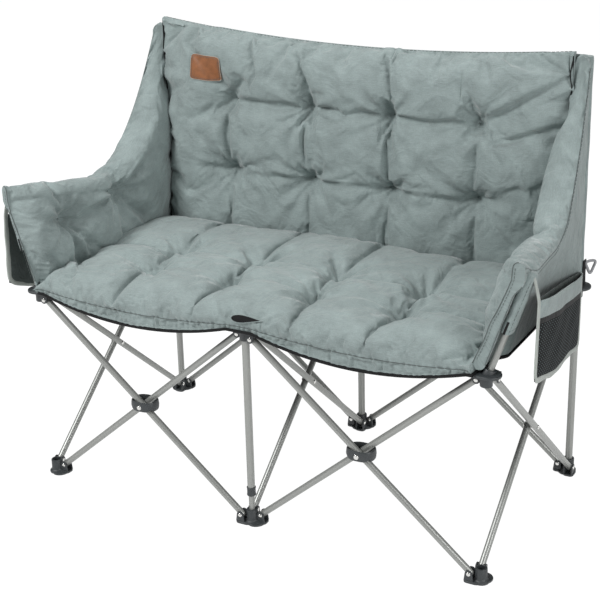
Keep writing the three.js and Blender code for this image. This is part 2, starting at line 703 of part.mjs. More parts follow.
// The top edge hangs between the posts like a slack line.
function backTop(x) {
  const share = x / BACK_HALF_WIDTH;
  return BACK_TOP_CORNER - BACK_TOP_DIP * (1 - share * share);
}

function backFront(x, z) {
  const widthShare = (x + BACK_HALF_WIDTH) / (2 * BACK_HALF_WIDTH);
  const heightShare = (z - BACK_BOTTOM) / (backTop(x) - BACK_BOTTOM);
  const full = fullness(widthShare) * fullness(Math.min(1, heightShare));
  const press = tuftPress(x, z, TUFT_COLUMNS, BACK_TUFT_ROWS, BACK_TUFT_DEPTH);
  return BACK_REAR - mix(BACK_EDGE_THICKNESS, BACK_THICKNESS, full) + press * full;
}

function addBack() {
  const pad = closedSheet(
    spaced(-BACK_HALF_WIDTH, BACK_HALF_WIDTH, BACK_COLUMNS),
    spaced(0, 1, BACK_ROWS),
    (x, share) => {
      const z = mix(BACK_BOTTOM, backTop(x), share);
      return [x, backFront(x, z), z];
    },
    (x, share) => [x, BACK_REAR, mix(BACK_BOTTOM, backTop(x), share)],
  );
  addMesh('back_pad', pad, 'cloth');

  const outer = POST_RADIUS + RUNNING_GAP + SLEEVE_WALL;
  const capTop = REAR_POST_TOP + RUNNING_GAP + SLEEVE_WALL;
  const panelTop = (x) => Math.min(backTop(x), capTop) - SHEET;
  const sheet = closedSheet(
    spaced(-BAY_WIDTH, BAY_WIDTH, BACK_ROWS),
    [0, 1],
    (x, share) => [x, PANEL_FRONT, mix(PANEL_BOTTOM, panelTop(x), share)],
    (x, share) => [x, PANEL_REAR, mix(PANEL_BOTTOM, panelTop(x), share)],
  );
  const sleeves = [];
  const bores = [];
  for (const column of CORNER_COLUMNS) {
    const post = postPlace(column, true);
    const sleeve = uprightCylinder(outer, PANEL_BOTTOM, capTop, POST_SIDES);
    const bore = uprightCylinder(
      POST_RADIUS + RUNNING_GAP, PANEL_BOTTOM - CUT_OVERRUN, REAR_POST_TOP + RUNNING_GAP, POST_SIDES);
    sleeve.translate(post.x, post.y, 0);
    bore.translate(post.x, post.y, 0);
    sleeves.push(sleeve);
    bores.push(bore);
  }
  addMesh('back_panel', geometryOf(cut(joined([sheet, ...sleeves]), bores)), 'cloth');
  addPatch();
}

// A bare leather patch sewn on the upper left of the back.
function addPatch() {
  const centreX = mix(-BACK_HALF_WIDTH, BACK_HALF_WIDTH, PATCH_ACROSS_SHARE);
  const centreZ = mix(BACK_BOTTOM, BACK_TOP_CORNER, PATCH_UP_SHARE);
  let foremost = BACK_REAR;
  for (const acrossShare of [-0.5, 0, 0.5]) {
    for (const upShare of [-0.5, 0, 0.5]) {
      const x = centreX + acrossShare * PATCH_WIDTH;
      const z = centreZ + upShare * PATCH_HEIGHT;
      foremost = Math.min(foremost, backFront(x, z));
    }
  }
  const shape = new THREE.BoxGeometry(PATCH_WIDTH, PATCH_THICKNESS, PATCH_HEIGHT);
  const patch = addMesh('patch', shape, 'leather');
  patch.position.set(centreX, foremost - RUNNING_GAP - PATCH_THICKNESS / 2, centreZ);
}

const ARM_FRONT_EDGE = -BAY_DEPTH / 2 - ARM_FRONT_OVERHANG;
const ARM_DIP_PLACE = mix(ARM_FRONT_EDGE, ARM_REAR_EDGE, ARM_DIP_SHARE);

// The arm's top edge falls from the rear post, runs level and lifts to the front corner.
function armTop(y) {
  if (y < ARM_DIP_PLACE) {
    const share = (ARM_DIP_PLACE - y) / (ARM_DIP_PLACE - ARM_FRONT_EDGE);
    return mix(ARM_DIP_TOP, ARM_FRONT_TOP, share);
  }
  const share = (y - ARM_DIP_PLACE) / (ARM_REAR_EDGE - ARM_DIP_PLACE);
  return mix(ARM_DIP_TOP, ARM_REAR_TOP, share * share);
}

// The middle of the arm's shell, which follows the leaning arm post in front and is upright behind.
function armMiddle(y, z) {
  const front = -BAY_DEPTH / 2;
  const flareShare = Math.min(1, Math.max(0, (ARM_REAR_EDGE - y) / (ARM_REAR_EDGE - front)));
  const base = HUB_PIVOT_HEIGHT + HUB_PLATE_RISE - HUB_PLATE;
  const riseShare = (z - base) / (ARM_POST_TOP - base);
  return BAY_WIDTH + ARM_FLARE * flareShare * Math.min(1, riseShare);
}

// A face of the arm at a sideways offset from the middle of its shell. The side is -1 or 1.
function armFace(side, offsetAt) {
  return (u, v) => {
    const y = mix(ARM_FRONT_EDGE, ARM_REAR_EDGE, u);
    const z = mix(ARM_BOTTOM, armTop(y), v);
    return [side * (armMiddle(y, z) + offsetAt(y, z, u, v)), y, z];
  };
}

const ARM_SHELL_HALF = ARM_SHELL_THICKNESS / 2;

// The arm's tufts, placed by shares of its length and of its height there.
function armTuftPlaces() {
  return ARM_TUFT_SHARES.map((tuft) => {
    const y = mix(ARM_FRONT_EDGE, ARM_REAR_EDGE, tuft.alongShare);
    return { y, z: mix(ARM_BOTTOM, armTop(y), tuft.upShare) };
  });
}

function addArms() {
  const armTufts = armTuftPlaces();
  for (const column of CORNER_COLUMNS) {
    const side = column - 1;
    const name = COLUMN_NAMES[column];
    const along = spaced(0, 1, ARM_COLUMNS);
    const shell = closedSheet(
      along,
      spaced(0, 1, ARM_ROWS),
      armFace(side, () => ARM_SHELL_HALF),
      armFace(side, () => -ARM_SHELL_HALF),
    );
    const line = armPostLine(side);
    const boreRadius = ARM_POST_RADIUS + RUNNING_GAP;
    const boreTop = line.length + RUNNING_GAP;
    const bore = alongLine(uprightCylinder(boreRadius, -CUT_OVERRUN, boreTop, POST_SIDES), line);
    const post = postPlace(column, false);
    bore.translate(post.x, post.y, HUB_PIVOT_HEIGHT);
    addMesh(`arm_shell_${name}`, geometryOf(cut(solidOf(shell), [bore])), 'cloth');
    const padOuter = () => -ARM_SHELL_HALF - RUNNING_GAP;
    const padInner = (y, z, u, v) => {
      const full = fullness(u) * fullness(v);
      let press = 0;
      for (const tuft of armTufts) {
        const reach = Math.hypot(y - tuft.y, z - tuft.z) / TUFT_RADIUS;
        press = Math.max(press, ARM_TUFT_DEPTH * Math.exp(-reach * reach));
      }
      const thickness = mix(ARM_PAD_BOTTOM_THICKNESS, ARM_PAD_TOP_THICKNESS, full * v);
      return padOuter() - thickness + press * full;
    };
    const pad = closedSheet(along, spaced(0, 1, ARM_ROWS), armFace(side, padOuter), armFace(side, padInner));
    addMesh(`arm_pad_${name}`, pad, 'cloth');
  }
}

// A pocket hangs on the outside of each arm, wider at its mouth, open at the top.
function addPockets() {
  for (const column of CORNER_COLUMNS) {
    const side = column - 1;
    const besideTube = BAY_WIDTH + PLANE_OFFSET + SLOT_HALF + RUNNING_GAP;
    const hangAt = (y, z) => Math.max(armMiddle(y, z) + ARM_SHELL_HALF + RUNNING_GAP, besideTube);
    const rim = [
      { y: POCKET_FRONT, hem: POCKET_FRONT_HEM, bottom: POCKET_FRONT_HEM - POCKET_FRONT_HEIGHT },
      { y: POCKET_REAR, hem: POCKET_REAR_HEM, bottom: POCKET_REAR_HEM - POCKET_REAR_HEIGHT },
    ];
    const face = (inset, lift) => (u, v) => {
      const y = mix(rim[0].y + inset, rim[1].y - inset, u);
      const share = (y - rim[0].y) / (rim[1].y - rim[0].y);
      const hem = mix(rim[0].hem, rim[1].hem, share) + (lift > 0 ? CUT_OVERRUN : 0);
      const bottom = mix(rim[0].bottom, rim[1].bottom, share) + lift;
      const inner = mix(hangAt(rim[0].y, rim[0].hem), hangAt(rim[1].y, rim[1].hem), share);
      return { y, z: mix(bottom, hem, v), inner: inner + inset, outer: inner + POCKET_DEPTH - inset, v };
    };
    const faces = (inset, lift) => {
      const at = face(inset, lift);
      return [
        (u, v) => {
          const point = at(u, v);
          return [side * (point.outer + POCKET_SPREAD * point.v), point.y, point.z];
        },
        (u, v) => {
          const point = at(u, v);
          return [side * point.inner, point.y, point.z];
        },
      ];
    };
    const outside = solidOf(closedSheet([0, 1], [0, 1], ...faces(0, 0)));
    const inside = closedSheet([0, 1], [0, 1], ...faces(SHEET, SHEET));
    addMesh(`pocket_${COLUMN_NAMES[column]}`, geometryOf(cut(outside, [inside])), 'mesh');
  }
}

// A webbing tab stands on the right rear hub, with a flat ring lying against it.
function addRing() {
  const bottom = HUB_TOP + RUNNING_GAP;
  const post = postPlace(2, true);
  const sleeve = POST_RADIUS + RUNNING_GAP + SLEEVE_WALL;
  const webbing = addMesh('webbing', new THREE.BoxGeometry(SHEET, WEBBING_WIDTH, WEBBING_LENGTH), 'backing');
  const webbingX = post.x + sleeve + RUNNING_GAP + SHEET / 2;
  webbing.position.set(webbingX, post.y + WEBBING_WIDTH / 4, bottom + WEBBING_LENGTH / 2);
  const outline = new THREE.Shape();
  const half = RING_WIDTH / 2;
  outline.moveTo(-half, RING_HEIGHT / 2);
  outline.lineTo(0, -RING_HEIGHT / 2);
  outline.lineTo(half, RING_HEIGHT / 2);
  outline.closePath();
  const insideShare = 1 - 3 * RING_BAR / RING_WIDTH;
  const opening = new THREE.Path();
  opening.moveTo(-half * insideShare, RING_HEIGHT / 2 - RING_BAR);
  opening.lineTo(half * insideShare, RING_HEIGHT / 2 - RING_BAR);
  opening.lineTo(0, RING_HEIGHT / 2 - RING_BAR - RING_HEIGHT * insideShare);
  opening.closePath();
  outline.holes.push(opening);
  const shape = new THREE.ExtrudeGeometry(outline, { depth: RING_THICKNESS, bevelEnabled: false });
  const ring = addMesh('ring', shape, 'ring');
  ring.rotation.set(Math.PI / 2, Math.PI / 2, 0);
  ring.position.set(
    webbingX + SHEET / 2 + RUNNING_GAP,
    post.y + WEBBING_WIDTH / 2,
    bottom + WEBBING_LENGTH - RING_DROP + RING_HEIGHT / 2,
  );
}

addFeetAndHubs();
addBayTubes();
addSideTubes();
addPosts();
addSeat();
addBack();
addArms();
addPockets();
addRing();

export default group;
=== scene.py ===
"""Finished surfaces for a folding two-seat camping chair: quilted cover, scissor frame, mouldings and pockets.

Lengths are in metres, +Z is up and the sitter faces -Y. The panel in the sidebar lists one operator for each
group of pieces, and main() runs them all in order.
"""

import json

import bpy
import numpy as np
from bpy.props import FloatProperty, FloatVectorProperty, IntProperty, PointerProperty
from mathutils import Matrix, Vector


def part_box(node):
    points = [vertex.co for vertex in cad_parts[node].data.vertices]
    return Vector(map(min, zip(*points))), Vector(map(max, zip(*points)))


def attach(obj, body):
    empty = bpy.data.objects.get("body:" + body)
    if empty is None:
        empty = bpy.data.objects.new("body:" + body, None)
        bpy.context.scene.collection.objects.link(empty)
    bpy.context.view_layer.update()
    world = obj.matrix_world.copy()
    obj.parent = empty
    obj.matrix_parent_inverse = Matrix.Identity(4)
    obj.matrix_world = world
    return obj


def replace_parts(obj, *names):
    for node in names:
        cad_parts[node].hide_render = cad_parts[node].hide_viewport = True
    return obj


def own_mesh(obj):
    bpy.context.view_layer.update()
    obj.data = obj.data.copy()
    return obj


bl_info = {
    "name": "Folding two-seat camping chair",
    "version": (1, 0, 0),
    "blender": (4, 5, 0),
    "location": "View3D > Sidebar > Camping chair",
    "description": "Builds the quilted cover, frame and fittings of a folding two-seat camping chair",
    "category": "Add Mesh",
}

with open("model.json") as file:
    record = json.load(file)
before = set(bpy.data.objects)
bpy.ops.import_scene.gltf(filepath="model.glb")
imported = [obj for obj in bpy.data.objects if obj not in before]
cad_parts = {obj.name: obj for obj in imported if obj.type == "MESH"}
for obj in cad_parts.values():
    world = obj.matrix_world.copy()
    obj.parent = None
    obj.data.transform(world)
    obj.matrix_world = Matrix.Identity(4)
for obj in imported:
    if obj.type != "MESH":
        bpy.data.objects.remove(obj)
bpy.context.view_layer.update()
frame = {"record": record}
MM = 0.001


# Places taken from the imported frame

def centre_of(node):
    """The middle of a node's box."""
    low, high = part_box(node)
    return (low + high) / 2


COLUMNS = ("left", "centre", "right")
ROWS = ("front", "rear")
SIDES = {"left": -1, "right": 1}
POSTS = {(row, column): centre_of(f"foot_{row}_{column}") for row in ROWS for column in COLUMNS}
BAY = POSTS["front", "right"].x
HALF_DEPTH = POSTS["rear", "right"].y
HUB_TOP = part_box("hub_rear_left")[1].z
SEAT_LOW, SEAT_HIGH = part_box("seat_pad_front")
SEAT_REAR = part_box("seat_pad_rear")[1].y
BACK_LOW, BACK_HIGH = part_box("back_pad")
ARM_LOW, ARM_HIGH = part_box("arm_shell_right")
PATCH = centre_of("patch")
PATCH_WIDTH, PATCH_HEIGHT = 0.077, 0.057

# Sizes of the frame, repeated from the construction
PIVOT_HEIGHT = 20 * MM
PIVOT_OFFSET = 20 * MM
PLANE_OFFSET = 8 * MM
PIVOT_RISE = HUB_TOP - PIVOT_HEIGHT - 18 * MM
TUBE_RADIUS = 7 * MM
POST_RADIUS = 8 * MM
GAP = 0.3 * MM
CHEEK_WALL = 3 * MM
CHEEK_RADIUS = 8 * MM
SLOT_HALF = TUBE_RADIUS + GAP
PLATE_RADIUS = 29.5 * MM
SOCKET_RADIUS = 12.2 * MM


# Colours

def linear(hex_text):
    """An sRGB hex colour as linear red, green and blue."""
    values = np.array([int(hex_text[start:start + 2], 16) for start in (1, 3, 5)]) / 255
    return tuple(np.where(values <= 0.04045, values / 12.92, ((values + 0.055) / 1.055) ** 2.4))


def colour_property(name, description, hex_text):
    return FloatVectorProperty(
        name=name, description=description, subtype="COLOR", size=3, min=0, max=1, default=linear(hex_text)
    )


class ChairColours(bpy.types.PropertyGroup):
    """Base colours of the chair's materials."""

    cloth: colour_property("Cover", "Grey-green woven polyester of the cover", "#859190")
    sling: colour_property("Sling", "Black coated polyester below the seat", "#0d0e0f")
    tube: colour_property("Tube", "Silver-grey powder coat", "#9a9c99")
    moulding: colour_property("Moulding", "Dark grey moulded nylon", "#34383a")
    rivet: colour_property("Rivet", "Nickel-plated steel", "#d9d9d6")
    netting: colour_property("Netting", "Dark polyester netting", "#1d2223")
    # Lining: the pocket backing's cloth, made darker than the cover as painted shade inside the pockets
    lining: colour_property("Lining", "Dark grey-green lining of the pockets", "#4a5250")
    binding: colour_property("Binding", "Pale grey tape round the pockets", "#a2a8a3")
    leather: colour_property("Leather", "Tan leather of the bare patch", "#85532f")
    ring: colour_property("Ring", "Pale grey moulded acetal", "#8c8d90")


class ChairSizes(bpy.types.PropertyGroup):
    """Sizes of the cover and its sewing."""

    cell: FloatProperty(name="Cloth cell", description="Side of a simulated cloth cell",
                        default=5.5 * MM, min=3 * MM, max=20 * MM, unit="LENGTH")
    slack: FloatProperty(name="Slack", description="Share by which the cloth is cut larger than its filling",
                         default=0.1, min=0, max=0.3, subtype="FACTOR")
    pressure: FloatProperty(name="Filling pressure", description="Outward push of the filling", default=4, min=0)
    swell: FloatProperty(name="Swell", description="Most that the filling moves the cloth",
                         default=24 * MM, min=0, unit="LENGTH")
    frames: IntProperty(name="Frames", description="Steps of the cloth simulation", default=20, min=1, max=60)
    stitch: FloatProperty(name="Stitch", description="Length of one stitch",
                          default=4.5 * MM, min=1 * MM, unit="LENGTH")
    thread: FloatProperty(name="Thread", description="Radius of the sewing thread",
                          default=0.55 * MM, min=0.1 * MM, unit="LENGTH")


def colours():
    return bpy.context.scene.chair_colours


def sizes():
    return bpy.context.scene.chair_sizes


# Surfaces worked out as arrays

def unit(vectors):
    """Vectors brought to length 1 along their last axis."""
    return vectors / np.linalg.norm(vectors, axis=-1, keepdims=True)


def lattice(*coordinates):
    """A grid of points from coordinates that are spread over each other's rows and columns."""
    return np.stack(np.broadcast_arrays(*coordinates), axis=-1)


def lengths_along(points):
    """Running length through a grid's rows, as the mean over its columns."""
    steps = np.linalg.norm(np.diff(points, axis=0), axis=2).mean(axis=1)
    return np.concatenate([[0.0], np.cumsum(steps)])


def shell(grid, ends="pole"):
    """A closed surface through a grid of points: each row is a ring, and each end is closed.

    A pole is the mean of its end ring. A ladder joins the two halves of an end ring across the shell, which
    suits a flat cushion. With ring ends the last ring joins the first. UVs are running lengths in metres.
    """
    rows, columns, _ = grid.shape
    ids = np.arange(rows * columns).reshape(rows, columns)
    closed = np.hstack([ids, ids[:, :1]])
    ring = np.hstack([grid, grid[:, :1]])
    across = lengths_along(grid)
    around = lengths_along(np.swapaxes(ring, 0, 1))
    flat = lattice(across[:, None], around)
    corners = [(slice(a, rows - 1 + a), slice(b, columns + b)) for a, b in ((0, 0), (0, 1), (1, 1), (1, 0))]
    points = grid.reshape(-1, 3)
    faces = [np.stack([closed[corner].ravel() for corner in corners], axis=1)]
    uvs = [np.stack([flat[corner].reshape(-1, 2) for corner in corners], axis=1)]
    for end, flip in ((0, True), (rows - 1, False)):
        if ends == "pole":
            pole = len(points)
            points = np.concatenate([points, grid[end].mean(axis=0)[None]])
            cap = np.stack([ids[end], np.roll(ids[end], -1), np.full(columns, pole)], axis=1)
            spread = np.stack([around[:columns], around[1:columns + 1], around[:columns]], axis=1)
            depth = np.full((columns, 3), across[end])
            depth[:, 2] += (-1 if end == 0 else 1) * np.linalg.norm(grid[end] - points[pole], axis=1)
        elif ends == "ladder":
            half = columns // 2
            low, high = ids[end, :half], ids[end, ::-1][:half]
            cap = np.stack([low[:-1], low[1:], high[1:], high[:-1]], axis=1)
            spread = np.tile(around[:half - 1, None], (1, 4))
            depth = np.full((half - 1, 4), across[end])
        elif end:
            cap = np.stack([closed[end, :-1], closed[end, 1:], closed[0, 1:], closed[0, :-1]], axis=1)
            spread = np.stack([around[:-1], around[1:], around[1:], around[:-1]], axis=1)
            closing = np.linalg.norm(grid[end] - grid[0], axis=1).mean()
            depth = np.tile(across[end] + np.array([0, 0, 1, 1]) * closing, (columns, 1))
        else:
            continue
        order = slice(None, None, -1) if flip else slice(None)
        faces.append(cap[:, order])
        uvs.append(np.stack([depth, spread], axis=2)[:, order])
    return outward(points, faces, uvs)


def outward(points, faces, uvs):
    """Turns every face over if the enclosed volume, the sum of a . (b x c) over triangles, is negative."""
    volume = 0.0
    for group in faces:
        for last in range(2, group.shape[1]):
            a, b, c = (points[group[:, k]] for k in (0, last - 1, last))
            volume += np.einsum("ij,ij->i", a, np.cross(b, c)).sum()
    if volume < 0:
        faces = [group[:, ::-1] for group in faces]
        uvs = [group[:, ::-1] for group in uvs]
    return points, faces, uvs


def thin_sheet(front, rear):
    """A thin closed sheet between two faces of the same grid."""
    return shell(np.hstack([front, rear[:, ::-1]]), ends="ladder")


def joined(shells):
    """Several shells as one set of points, faces and UVs."""
    points, faces, uvs, offset = [], [], [], 0
    for shell_points, shell_faces, shell_uvs in shells:
        points.append(shell_points)
        faces.extend(group + offset for group in shell_faces)
        uvs.extend(shell_uvs)
        offset += len(shell_points)
    return np.concatenate(points), faces, uvs


def mesh_from(name, shells, smooth_angle=40):
    """A mesh of shells with a metric UV map, smooth but for edges past an angle."""
    points, faces, uvs = joined(shells)
    mesh = bpy.data.meshes.new(name)
    mesh.vertices.add(len(points))
    mesh.vertices.foreach_set("co", points.astype(np.float32).ravel())
    totals = np.concatenate([np.full(len(group), group.shape[1]) for group in faces])
    mesh.loops.add(int(totals.sum()))
    mesh.loops.foreach_set("vertex_index", np.concatenate([group.ravel() for group in faces]).astype(np.int32))
    mesh.polygons.add(len(totals))
    starts = np.concatenate([[0], np.cumsum(totals)[:-1]])
    mesh.polygons.foreach_set("loop_start", starts.astype(np.int32))
    mesh.polygons.foreach_set("loop_total", totals.astype(np.int32))
    layer = mesh.uv_layers.new(name="length")
    flat = np.concatenate([group.reshape(-1, 2) for group in uvs])
    layer.data.foreach_set("uv", flat.astype(np.float32).ravel())
    mesh.update(calc_edges=True)
    mesh.validate()
    mesh.polygons.foreach_set("use_smooth", np.ones(len(mesh.polygons), bool))
    if smooth_angle:
        mesh.set_sharp_from_angle(angle=np.radians(smooth_angle))
    return mesh


def piece(name, shells, key, body, smooth_angle=40):
    """A finished object at the origin that moves with a body of the frame."""
    mesh = mesh_from(name, shells, smooth_angle)
    mesh.materials.append(material(key))
    made = bpy.data.objects.new(name, mesh)
    bpy.context.scene.collection.objects.link(made)
    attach(made, body)
    return made


def ring_angles(count):
    return np.linspace(0, 2 * np.pi, count, endpoint=False)


def turned(profile, centre, sides=48, axis="Z", squeeze=0.0, ways=((1, 0), (-1, 0))):
    """A profile of radius and height carried round an axis: (r cos t, r sin t, h).

    Where r is more than 14 mm, it is squeezed by up to a share, except towards the ways, by 1 less the largest
    cosine to any of them. A flange so comes out full only where something stands on it.
    """
    profile = np.asarray(profile, float)
    turn = ring_angles(sides)
    towards = np.max([np.cos(turn) * x + np.sin(turn) * y for x, y in ways], axis=0)
    wide = np.clip((profile[:, :1] - 14 * MM) / (14 * MM), 0, 1)
    radius = profile[:, :1] * (1 - squeeze * np.clip(1 - towards, 0, 1) * wide)
    return shell(placed(lattice(radius * np.cos(turn), radius * np.sin(turn), profile[:, 1:]), centre, axis))


def placed(grid, centre, axis):
    """Points turned from Z to another axis and moved to a centre."""
    if axis == "X":
        grid = grid[..., [2, 0, 1]]
    elif axis == "Y":
        grid = grid[..., [1, 2, 0]]
    return grid + np.asarray(centre, float)


def eased(corner_points, radius, steps=4):
    """A closed line of corners, each rounded by a quadratic curve: (1 - s)^2 a + 2s(1 - s) b + s^2 c."""
    points = np.asarray(corner_points, float)
    result = []
    for before, here, after in zip(np.roll(points, 1, 0), points, np.roll(points, -1, 0)):
        to_before = (before - here) / max(np.linalg.norm(before - here), 1e-9)
        to_after = (after - here) / max(np.linalg.norm(after - here), 1e-9)
        reach = min(radius, np.linalg.norm(before - here) * 0.49, np.linalg.norm(after - here) * 0.49)
        start, stop = here + to_before * reach, here + to_after * reach
        share = np.linspace(0, 1, steps)[:, None]
        result.append((1 - share) ** 2 * start + 2 * share * (1 - share) * here + share ** 2 * stop)
    return np.concatenate(result)


def frames_along(path):
    """Two directions across a path, which turn with it as little as they can."""
    tangents = unit(np.gradient(path, axis=0))
    first = np.cross(tangents[0], (0, 0, 1))
    if np.linalg.norm(first) < 0.1:
        first = np.cross(tangents[0], (0, 1, 0))
    sides = []
    for tangent in tangents:
        first = unit(first - tangent * (first @ tangent))
        sides.append(first)
    sides = np.array(sides)
    return sides, np.cross(tangents, sides)


def carried(path, across, up, section, ends="pole"):
    """A shell through p + s across + t up for each point p of a path and each point (s, t) of its section."""
    return shell(path[:, None] + across * section[..., :1] + up * section[..., 1:], ends)


def swept(path, section):
    """A section carried along a path, at right angles to it."""
    sides, ups = frames_along(path)
    return carried(path, sides[:, None], ups[:, None], section)


def oval(across, up, count=12, power=1.0):
    """A closed section (a c |c|^(p - 1), b s |s|^(p - 1)): an ellipse at power 1, squarer below it."""
    turn = ring_angles(count)
    cos, sin = np.cos(turn), np.sin(turn)
    return lattice(across * np.sign(cos) * np.abs(cos) ** power, up * np.sign(sin) * np.abs(sin) ** power)


def round_section(radius, count=12):
    return oval(radius, radius, count)


def circle_round(direction, sides):
    """Unit vectors round a direction: cos t a + sin t b, with a and b at right angles to it."""
    first = unit(np.cross(direction, (0, 0, 1) if abs(direction[2]) < 0.9 else (0, 1, 0)))
    turn = ring_angles(sides)[:, None]
    return np.cos(turn) * first + np.sin(turn) * np.cross(direction, first)


def lathed(start, stop, along, radii, sides):
    """A rod with a radius given at each length along it."""
    direction = unit(stop - start)
    circle = circle_round(direction, sides)
    return shell(start + along[:, None, None] * direction + radii[:, None, None] * circle)


def rod(start, stop, radius, sides=28, cap_steps=5):
    """A straight round rod whose ends are half spheres at its two points."""
    start, stop = np.asarray(start, float), np.asarray(stop, float)
    turn = np.linspace(0.15, np.pi / 2, cap_steps)
    length = np.linalg.norm(stop - start)
    along = np.concatenate([-radius * np.cos(turn), length + radius * np.cos(turn[::-1])])
    return lathed(start, stop, along, radius * np.concatenate([np.sin(turn), np.sin(turn[::-1])]), sides)


def revolved(section, foot, direction=(0, 0, 1), sides=56):
    """A closed section of radius and height carried round an axis through a foot."""
    direction = np.array(direction, float)
    circle = circle_round(direction, sides)[:, None]
    return shell(foot + section[None, :, 1:] * direction + section[None, :, :1] * circle, ends="ring")


def slab(outline, low, high, rim, axis="Z", centre=(0, 0, 0)):
    """A flat plate whose outline is drawn in towards its middle near both faces."""
    outline = np.asarray(outline, float)
    middle = outline.mean(axis=0)
    reach = np.linalg.norm(outline - middle, axis=1).mean()
    turn = np.linspace(0, np.pi / 2, 4)
    inset = np.concatenate([rim * (1 - np.sin(turn)), rim * (1 - np.sin(turn[::-1]))])
    height = np.concatenate([low + rim * (1 - np.cos(turn)), high - rim * (1 - np.cos(turn[::-1]))])
    inset = np.concatenate([[reach * 0.5], inset, [reach * 0.5]])
    height = np.concatenate([[low], height, [high]])
    scale = 1 - inset / reach
    grid = np.empty((len(inset), len(outline), 3))
    grid[..., :2] = middle + (outline - middle)[None] * scale[:, None, None]
    grid[..., 2] = height[:, None]
    return shell(placed(grid, centre, axis))


def domed(centre, radius, height, axis, facing, sides=20):
    """A shallow domed rivet head on a flat base, facing along an axis."""
    turn = np.linspace(0.05, np.pi / 2, 6)
    profile = [(radius * np.sin(angle), height * np.cos(angle)) for angle in turn]
    profile += [(radius, -height * 0.4), (radius * 0.5, -height * 0.4)]
    return turned(np.array(profile) * (1, facing), centre, sides, axis)


# Materials, each named for the real stuff and how its surface was made

def fill(tree, node, inputs):
    """Gives a node's inputs their values or links."""
    for key, value in inputs.items():
        socket = node.inputs[key]
        if isinstance(value, bpy.types.NodeSocket):
            tree.links.new(value, socket)
        elif socket.type == "RGBA" and len(value) == 3:
            socket.default_value = (*value, 1)
        else:
            socket.default_value = value


def add_node(tree, kind, inputs=None, **settings):
    """Adds a node, sets its properties and fills its inputs."""
    made = tree.nodes.new(kind)
    for key, value in settings.items():
        setattr(made, key, value)
    fill(tree, made, inputs or {})
    return made


def new_material(name):
    """An empty material with its output and one surface shader."""
    made = bpy.data.materials.new(name)
    made.use_nodes = True
    made.node_tree.nodes.clear()
    shader = add_node(made.node_tree, "ShaderNodeBsdfPrincipled")
    add_node(made.node_tree, "ShaderNodeOutputMaterial", {"Surface": shader.outputs["BSDF"]})
    return made, made.node_tree, shader


def shaded(tree, base, factor, darker, lighter):
    """A base colour from a darker to a lighter tone as a pattern goes from 0 to 1."""
    dark, light = (tuple(min(1.0, channel * tone) for channel in base) for tone in (darker, lighter))
    mix = add_node(tree, "ShaderNodeMix", {"Factor": factor, "A": dark, "B": light}, data_type="RGBA")
    return next(out for out in mix.outputs if out.type == "RGBA")


WAVE_TURNS_PER_UNIT = 20 / (2 * np.pi)


def woven_polyester(name, base, thread=1.3 * MM, mottle=0.21, roughness=0.86, sheen=0.3, crease=10 * MM):
    """Plain-woven polyester, heather-dyed and brushed: fine threads and cloudy shade.

    The real threads are about 0.6 mm apart, drawn at 1.3 mm to show from a step away.
    """
    made, tree, shader = new_material(name)
    uv = add_node(tree, "ShaderNodeUVMap", uv_map="length").outputs["UV"]
    place = add_node(tree, "ShaderNodeTexCoord").outputs["Object"]
    scale = 1 / (thread * WAVE_TURNS_PER_UNIT)
    warp, weft = (add_node(tree, "ShaderNodeTexWave", {"Vector": uv, "Scale": scale, "Distortion": 0.6},
                           bands_direction=way).outputs["Fac"] for way in "XY")
    weave = add_node(tree, "ShaderNodeMath", {0: warp, 1: weft}, operation="MAXIMUM").outputs[0]
    cloudy = add_node(tree, "ShaderNodeTexNoise", {"Vector": place, "Scale": 22, "Detail": 5, "Roughness": 0.6})
    drawn = add_node(tree, "ShaderNodeMapping", {"Vector": uv, "Scale": (1, 14, 1)}).outputs[0]
    streaks = add_node(tree, "ShaderNodeTexNoise", {"Vector": drawn, "Scale": 55, "Detail": 3}).outputs["Fac"]
    flecks = add_node(tree, "ShaderNodeTexNoise", {"Vector": uv, "Scale": 420, "Detail": 2})
    shade = add_node(tree, "ShaderNodeMath", {0: cloudy.outputs["Fac"], 1: 0.45}, operation="MULTIPLY").outputs[0]
    shade = add_node(tree, "ShaderNodeMath", {0: streaks, 1: 0.3, 2: shade}, operation="MULTIPLY_ADD").outputs[0]
    shade = add_node(tree, "ShaderNodeMath", {0: flecks.outputs["Fac"], 1: 0.25, 2: shade},
                     operation="MULTIPLY_ADD").outputs[0]
    shade = add_node(tree, "ShaderNodeMapRange", {"Value": shade, "From Min": 0.36, "From Max": 0.64}).outputs[0]
    tone = shaded(tree, base, shade, 1 - mottle, 1 + mottle)
    threads = add_node(tree, "ShaderNodeBump", {"Height": weave, "Strength": 0.35, "Distance": 0.25 * MM})
    slub = add_node(tree, "ShaderNodeTexNoise", {"Vector": place, "Scale": 60, "Detail": 4, "Distortion": 0.6})
    soft = add_node(tree, "ShaderNodeBump", {
        "Height": slub.outputs["Fac"], "Strength": 0.75, "Distance": 2.4 * MM,
        "Normal": threads.outputs["Normal"]})
    crumple = add_node(tree, "ShaderNodeTexNoise", {"Vector": place, "Scale": 15, "Detail": 2.5, "Distortion": 1.6})
    worn = add_node(tree, "ShaderNodeBump", {
        "Height": crumple.outputs["Fac"], "Strength": 0.8, "Distance": crease, "Normal": soft.outputs["Normal"]})
    fill(tree, shader, {"Base Color": tone, "Normal": worn.outputs["Normal"], "Roughness": roughness,
                        "Sheen Weight": sheen, "Sheen Roughness": 0.45, "Specular IOR Level": 0.25})
    return made


